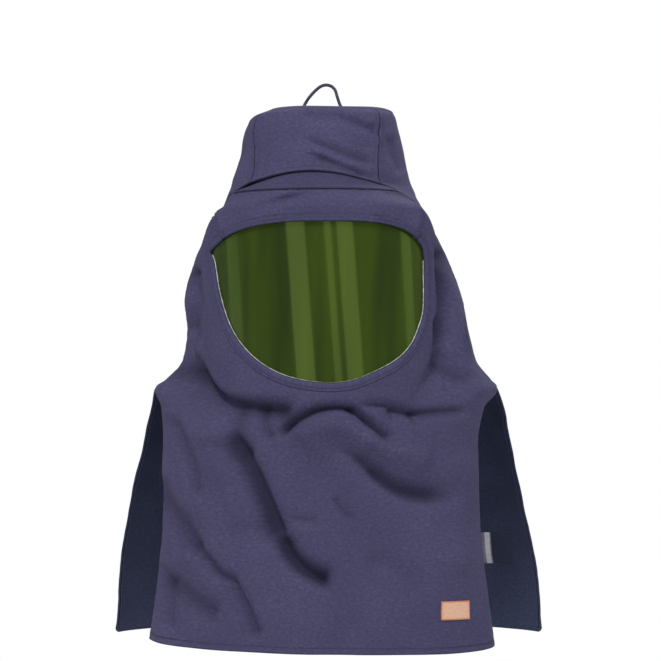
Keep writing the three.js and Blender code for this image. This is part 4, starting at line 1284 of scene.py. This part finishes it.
# Window sheet
def visor_sheet():
    steps = spaced((V_RIGHT - V_LEFT) * VISOR_R, 3, [0, 0.4, 1.2, 2.5, 4.5, 7, 10, 14])
    angles = V_LEFT + steps / VISOR_R
    from_end = np.minimum(steps, steps[::-1])
    high = V_TOP - corner_cut(VISOR_TOP_CORNER, from_end)
    low = V_FOOT + corner_cut(VISOR_FOOT_CORNER, from_end)
    shares = parts(231, 8, [0, 0.5, 1.4, 3])
    rows, n = len(shares), len(angles)
    radii = [VISOR_R + side * VISOR_T / 2 for side in (1, -1)]
    verts = np.vstack([place(angles, r, mix(high, low, s)) for r in radii for s in shares])
    at = lambda i, j, k: (k * rows + j) * n + i
    cells = lambda i, j, k: [at(i, j, k), at(i, j + 1, k), at(i + 1, j + 1, k), at(i + 1, j, k)]
    faces = [cells(i, j, k) for j in range(rows - 1) for i in range(n - 1) for k in (0, 1)]
    for j in (0, rows - 1):
        for i in range(n - 1):
            faces.append([at(i, j, 0), at(i + 1, j, 0), at(i + 1, j, 1), at(i, j, 1)])
    for i in (0, n - 1):
        for j in range(rows - 1):
            faces.append([at(i, j, 0), at(i, j, 1), at(i, j + 1, 1), at(i, j + 1, 0)])
    uv = np.stack([np.arctan2(verts[:, 0], AXIS_Y - verts[:, 1]) * VISOR_R, verts[:, 2]], -1)
    obj = mesh_object("window_sheet", verts, faces, uv)
    obj.modifiers.new("soft_edges", "EDGE_SPLIT").split_angle = math.radians(50)
    return material_slot(obj, WINDOW_MAT)


visor = visor_sheet()
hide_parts("visor")


# Pale edge of the U
trim_line = window_line[17:-14]


def trim_ring(j, point, out):
    fat = 0.5 + 0.1 * math.sin(j * 0.9) + 0.08 * math.sin(j * 2.3)
    # it thins out along the foot, where the photo hardly shows it
    fat *= 1 - 0.6 * math.exp(-(((j / len(trim_line) - 0.56) / 0.13) ** 4))
    ring = []
    for turn in np.arange(8) * math.pi / 4:
        x, z = point - out * (0.85 + math.cos(turn) * fat)
        ring.append(place(x / CLOTH_R, VISOR_R + 1.95 + math.sin(turn) * 0.75, z))
    return ring


trim = tube("window_pale_edge", rings_along(trim_line, trim_ring))
material_slot(trim, TRIM)
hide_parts("window_trim")


# Hanging loop: a folded woven tape, its ends spread and stitched to the crown
LOOP_H, LOOP_Y = 36, -25
LOOP = [
    (-0.87, 0), (-0.64, 0.4), (-0.38, 0.7), (-0.15, 0.88), (0.05, 0.93),
    (0.24, 0.88), (0.38, 0.74), (0.46, 0.5), (0.56, 0.2), (0.67, 0),
]  # fmt: skip
loop_foot = CROWN_TOP_Z + CLOTH + CROWN_RISE - 0.4
loop_line = spline([(x * LOOP_H, loop_foot + z * LOOP_H) for x, z in LOOP], 150)


def loop_ring(j, point, out):
    sway = 1.2 * math.sin(j / (len(loop_line) - 1) * 5.1)
    ring = []
    for turn in np.arange(14) * math.pi / 7:
        c, s = math.cos(turn), math.sin(turn)
        thick = 2.25 + 0.04 * math.sin(j * 2.2) - 0.35 * (1 - abs(s)) ** 4
        x, z = point + out * thick * math.copysign(abs(c) ** 0.7, c)
        ring.append([x, LOOP_Y + sway + 2.5 * math.copysign(abs(s) ** 0.8, s), z])
    return ring


loop = tube("hanging_tape", rings_along(loop_line, loop_ring))
material_slot(loop, TAPE)
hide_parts("hanging_loop")

# Leather patch
PATCH_W, PATCH_H, PATCH_T, PATCH_STITCH = 42, 25, 1.6, 2
PATCH_X, PATCH_UP, PATCH_TILT = 0.67, 54, 0.035
patch_edge, patch_uv = rectangle(PATCH_W, PATCH_H)


def patch_surface(u, v):
    section = front_sections(BASE_Z - HEM_Z - PATCH_UP)
    middle = PATCH_X * math.radians(float(section[6]))
    radius = float(radius_of(section, middle))
    x, up = (u - 0.5) * PATCH_W, (0.5 - v) * PATCH_H
    c, s = math.cos(PATCH_TILT), math.sin(PATCH_TILT)
    groove = 0.28 * bell(patch_edge(u, v) - PATCH_STITCH, 0.7)
    angle, z = middle + (x * c + up * s) / radius, HEM_Z + PATCH_UP + up * c - x * s
    return body_point(FRONT, angle, z, CLOTH / 2 + PATCH_T / 2 + 0.1 - groove)


patch_fine = [0, 0.2, 0.5, 0.9, 1.3, 1.7, 2.1, 2.6]
patch = panel(
    "hem_leather_patch",
    patch_surface,
    parts(PATCH_W, 0.9, patch_fine),
    parts(PATCH_H, 0.9, patch_fine),
    patch_edge,
    PATCH_T,
    uv=patch_uv,
    worn=lambda u, v: bell(patch_edge(u, v), 1.9),
)
material_slot(patch, LEATHER)
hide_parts("hem_patch")

# Labels behind the right edge: their line in plan, from the inside of the cloth round its edge
LABEL_LINE = [(-2.9, -9), (-2.9, 0), (-2.3, 2.2), (-0.6, 3.4), (4, 4.6)]
LABEL_H, LABEL_Z, LABEL_T = 42, BASE_Z - 0.79 * BODY_H, 0.8


def label(name, width, layer, material, node):
    ends = [(width * 0.6, 4.6 + width * 0.07), (width, 4.6 + width * 0.1)]
    line = spline(LABEL_LINE + ends, 60)

    def surface(u, v):
        z = LABEL_Z + (0.5 - v) * LABEL_H
        edge = np.radians(front_sections(BASE_Z - z)[6]) - 0.001
        start = body_point(FRONT, edge, z)
        along = (start - body_point(FRONT, edge - 0.02, z)) * [1, 1, 0]
        along /= np.linalg.norm(along, axis=-1, keepdims=True)
        out = np.stack([along[..., 1], -along[..., 0], np.zeros_like(z)], -1)
        far, deep = (np.interp(u, np.linspace(0, 1, len(line)), line[:, k]) for k in (0, 1))
        ripple = 0.5 * np.sin(u * 7 + v * 2.4 + layer) * smooth((u - 0.3) / 0.4)
        p = start + out * far[..., None] + along * (deep + layer * 1.3 + ripple)[..., None]
        p[..., 2] = z
        return p

    us, vs = np.linspace(0, 1, 46), np.linspace(0, 1, 42)
    edge, uv = rectangle(width + 9, LABEL_H)[0], rectangle(width, LABEL_H)[1]
    obj = panel(name, surface, us, vs, edge, LABEL_T, uv=uv)
    material_slot(obj, material)
    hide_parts(node)
    return obj


tab = label("side_grey_tab", 13, 0, LABEL, "side_tab")
tab.data.materials.append(STRIP)
uvs = tab.data.uv_layers[0].data
for polygon in tab.data.polygons:
    centre = sum(uvs[k].uv[0] for k in polygon.loop_indices) / polygon.loop_total
    polygon.material_index = 0.0091 < centre < 0.0121
flag = label("side_dark_flag", 40, 1, FLAG, "side_flag")

# ---- stitching
seams = Stitching()
t = np.linspace(0, 1, 700)
HEM_V = 1 - HEM_STITCH / 600
free_v, sewn_v = mix(0.445, HEM_V, t), mix(0.02, 0.43, t)
# hem, free sides and side seams of the front
inset = 1 - HEM_STITCH / HALF_FRONT
seams.on(front_surface, mix(-inset, inset, t), HEM_V, CLOTH)
for side, column in ((-1, 5), (1, 6)):
    for v, far in ((free_v, HEM_STITCH), (sewn_v, SEAM_STITCH)):
        edge = np.radians(front_sections(v * BODY_H)[column])
        seams.on(front_surface, side * (1 - far / (edge * FRONT_SIDE_R)), v, CLOTH)
# hem and free sides of the back
seams.on(back_surface, mix(0.014, 0.986, t), HEM_V, CLOTH)
section = back_sections(free_v * BODY_H)
arc = 2 * math.pi - np.radians(section[5]) - np.radians(section[6])
inset = HEM_STITCH / (arc * back_side_r(free_v * BODY_H))
seams.on(back_surface, inset, free_v, CLOTH)
seams.on(back_surface, 1 - inset, free_v, CLOTH)
# round the window, and two rows over it
groove = facing_rings[:, GROOVE]
seams.row(groove + outward_of(groove) * 0.1, outward_of(groove))
share = mix(0.02, 0.98, t)
angle = brow_place(share, 1.0)[0]
for up in BROW_STITCHES:
    v = 1 - up / (top_seam_z(angle) - brow_edge_z(angle))
    seams.on(brow_surface, share, v, BROW_WALL)
# both sides and the foot of each crown piece
for _, surface, wide in crown:
    seams.on(surface, SEAM_STITCH / wide, mix(0.05, 0.95, t), CLOTH)
    seams.on(surface, 1 - SEAM_STITCH / wide, mix(0.05, 0.95, t), CLOTH)
    seams.on(surface, share, 1 - FOOT_STITCH / 100, CLOTH)
seams.build("cloth_stitching", THREAD)

tan = Stitching()
u0, v0 = PATCH_STITCH / PATCH_W, PATCH_STITCH / PATCH_H
across, down = mix(u0, 1 - u0, t), mix(v0, 1 - v0, t)
for u, v in ((across, v0), (across, 1 - v0), (u0, down), (1 - u0, down)):
    tan.on(patch_surface, u, v, PATCH_T, pitch=2.1, length=1.5, width=0.5, rise=0.3)
tan.build("patch_stitching", PALE_THREAD)

# ---- stage, light and camera
FLOOR_Z, FLOOR_R, FLOOR_CORNERS = -950, 9000, 96
pale = Surface("pale_floor")
pale.set(Base_Color=(0.8, 0.8, 0.81, 1), Roughness=0.9)
# white to look at, and shaded to light with
seen, white = pale.add("LightPath").outputs["Is Camera Ray"], pale.add("Emission").outputs[0]
either = pale.add("MixShader", {0: seen, 1: pale.shader.outputs[0], 2: white})
pale.put(pale.out.inputs[0], either.outputs[0])
turns = np.arange(FLOOR_CORNERS) * 2 * math.pi / FLOOR_CORNERS
ring = [(FLOOR_R * math.cos(turn), FLOOR_R * math.sin(turn), FLOOR_Z) for turn in turns]
floor = mesh_object("pale_floor", ring, [list(range(FLOOR_CORNERS))])
floor.data.materials.append(pale.material)

# White to look at, and a soft dome that is brighter above than below to light with
world = bpy.data.worlds.new("studio")
bpy.context.scene.world = world
sky = Tree(world)
up = sky.add("SeparateXYZ", {0: sky.add("TexCoord").outputs["Generated"]}).outputs[2]
greys = [(0.3, (0.1, 0.1, 0.11, 1)), (0.5, (0.3, 0.3, 0.31, 1)), (0.9, (0.62, 0.63, 0.66, 1))]
dome = sky.add("Background", {0: sky.ramp(sky.plus(up, 0.5, 0.5), greys)})
plain = sky.add("Background", {0: (1, 1, 1, 1)})
seen = sky.add("LightPath").outputs["Is Camera Ray"]
pick = sky.add("MixShader", {0: seen, 1: dome.outputs[0], 2: plain.outputs[0]})
sky.add("OutputWorld", {0: pick.outputs[0]})


def area_light(name, azimuth, distance, height, size, power, aim=-0.36, colour=(1, 1, 1)):
    """A soft light round the hood, in degrees from its front, pointing at its axis."""
    light = bpy.data.lights.new(name, "AREA")
    light.shape, light.size, light.size_y = "RECTANGLE", size[0], size[1]
    light.energy, light.color = power, colour
    obj = bpy.data.objects.new(name, light)
    a, axis_y = math.radians(azimuth), AXIS_Y / 1000
    obj.location = (distance * math.sin(a), axis_y - distance * math.cos(a), height)
    bpy.context.scene.collection.objects.link(obj)
    way = Vector((0, axis_y, aim)) - obj.location
    obj.rotation_euler = way.to_track_quat("-Z", "Y").to_euler()
    obj.visible_camera = False
    return obj


area_light("key", -24, 2.7, 3.0, (1.0, 1.0), 118)
area_light("back_key", 152, 2.9, 2.6, (1.3, 1.3), 84)
area_light("side_fill", 58, 3.0, 1.4, (1.2, 1.2), 26)
area_light("left_fill", -68, 3.0, 1.2, (1.3, 1.3), 14).visible_glossy = False
area_light("top_fill", 14, 1.9, 2.4, (1.6, 1.0), 16)
area_light("strip_left", -21, 3.3, -0.3, (0.95, 1.4), 8, aim=-0.3)
area_light("strip_middle", 7, 3.5, -0.3, (0.36, 1.4), 2.4, aim=-0.3)
area_light("strip_right", 22, 3.4, -0.3, (0.85, 1.4), 7, aim=-0.3)
area_light("strip_far_left", -86, 3.2, -0.3, (0.8, 1.4), 2.6, aim=-0.3, colour=(0.75, 1, 0.6))
area_light("strip_far_right", 80, 3.2, -0.3, (0.6, 1.4), 2.8, aim=-0.3, colour=(0.75, 1, 0.6))

# The photo is this many pixels wide, read at so many millimetres to a pixel at the hood's middle
PHOTO_PX, MM_PER_PX, CAMERA_AWAY = 661, 1.38, 3.0
camera_data = bpy.data.cameras.new("camera")
camera_data.sensor_width = 36
camera_data.lens = 36 * CAMERA_AWAY * 1000 / (PHOTO_PX * MM_PER_PX)
camera = bpy.data.objects.new("camera", camera_data)
camera.location = (0.0076, -CAMERA_AWAY, -0.2976)
camera.rotation_euler = (math.pi / 2, 0, 0)
bpy.context.scene.collection.objects.link(camera)
bpy.context.scene.camera = camera
bpy.context.scene.view_settings.view_transform = "Standard"

bpy.context.view_layer.update()
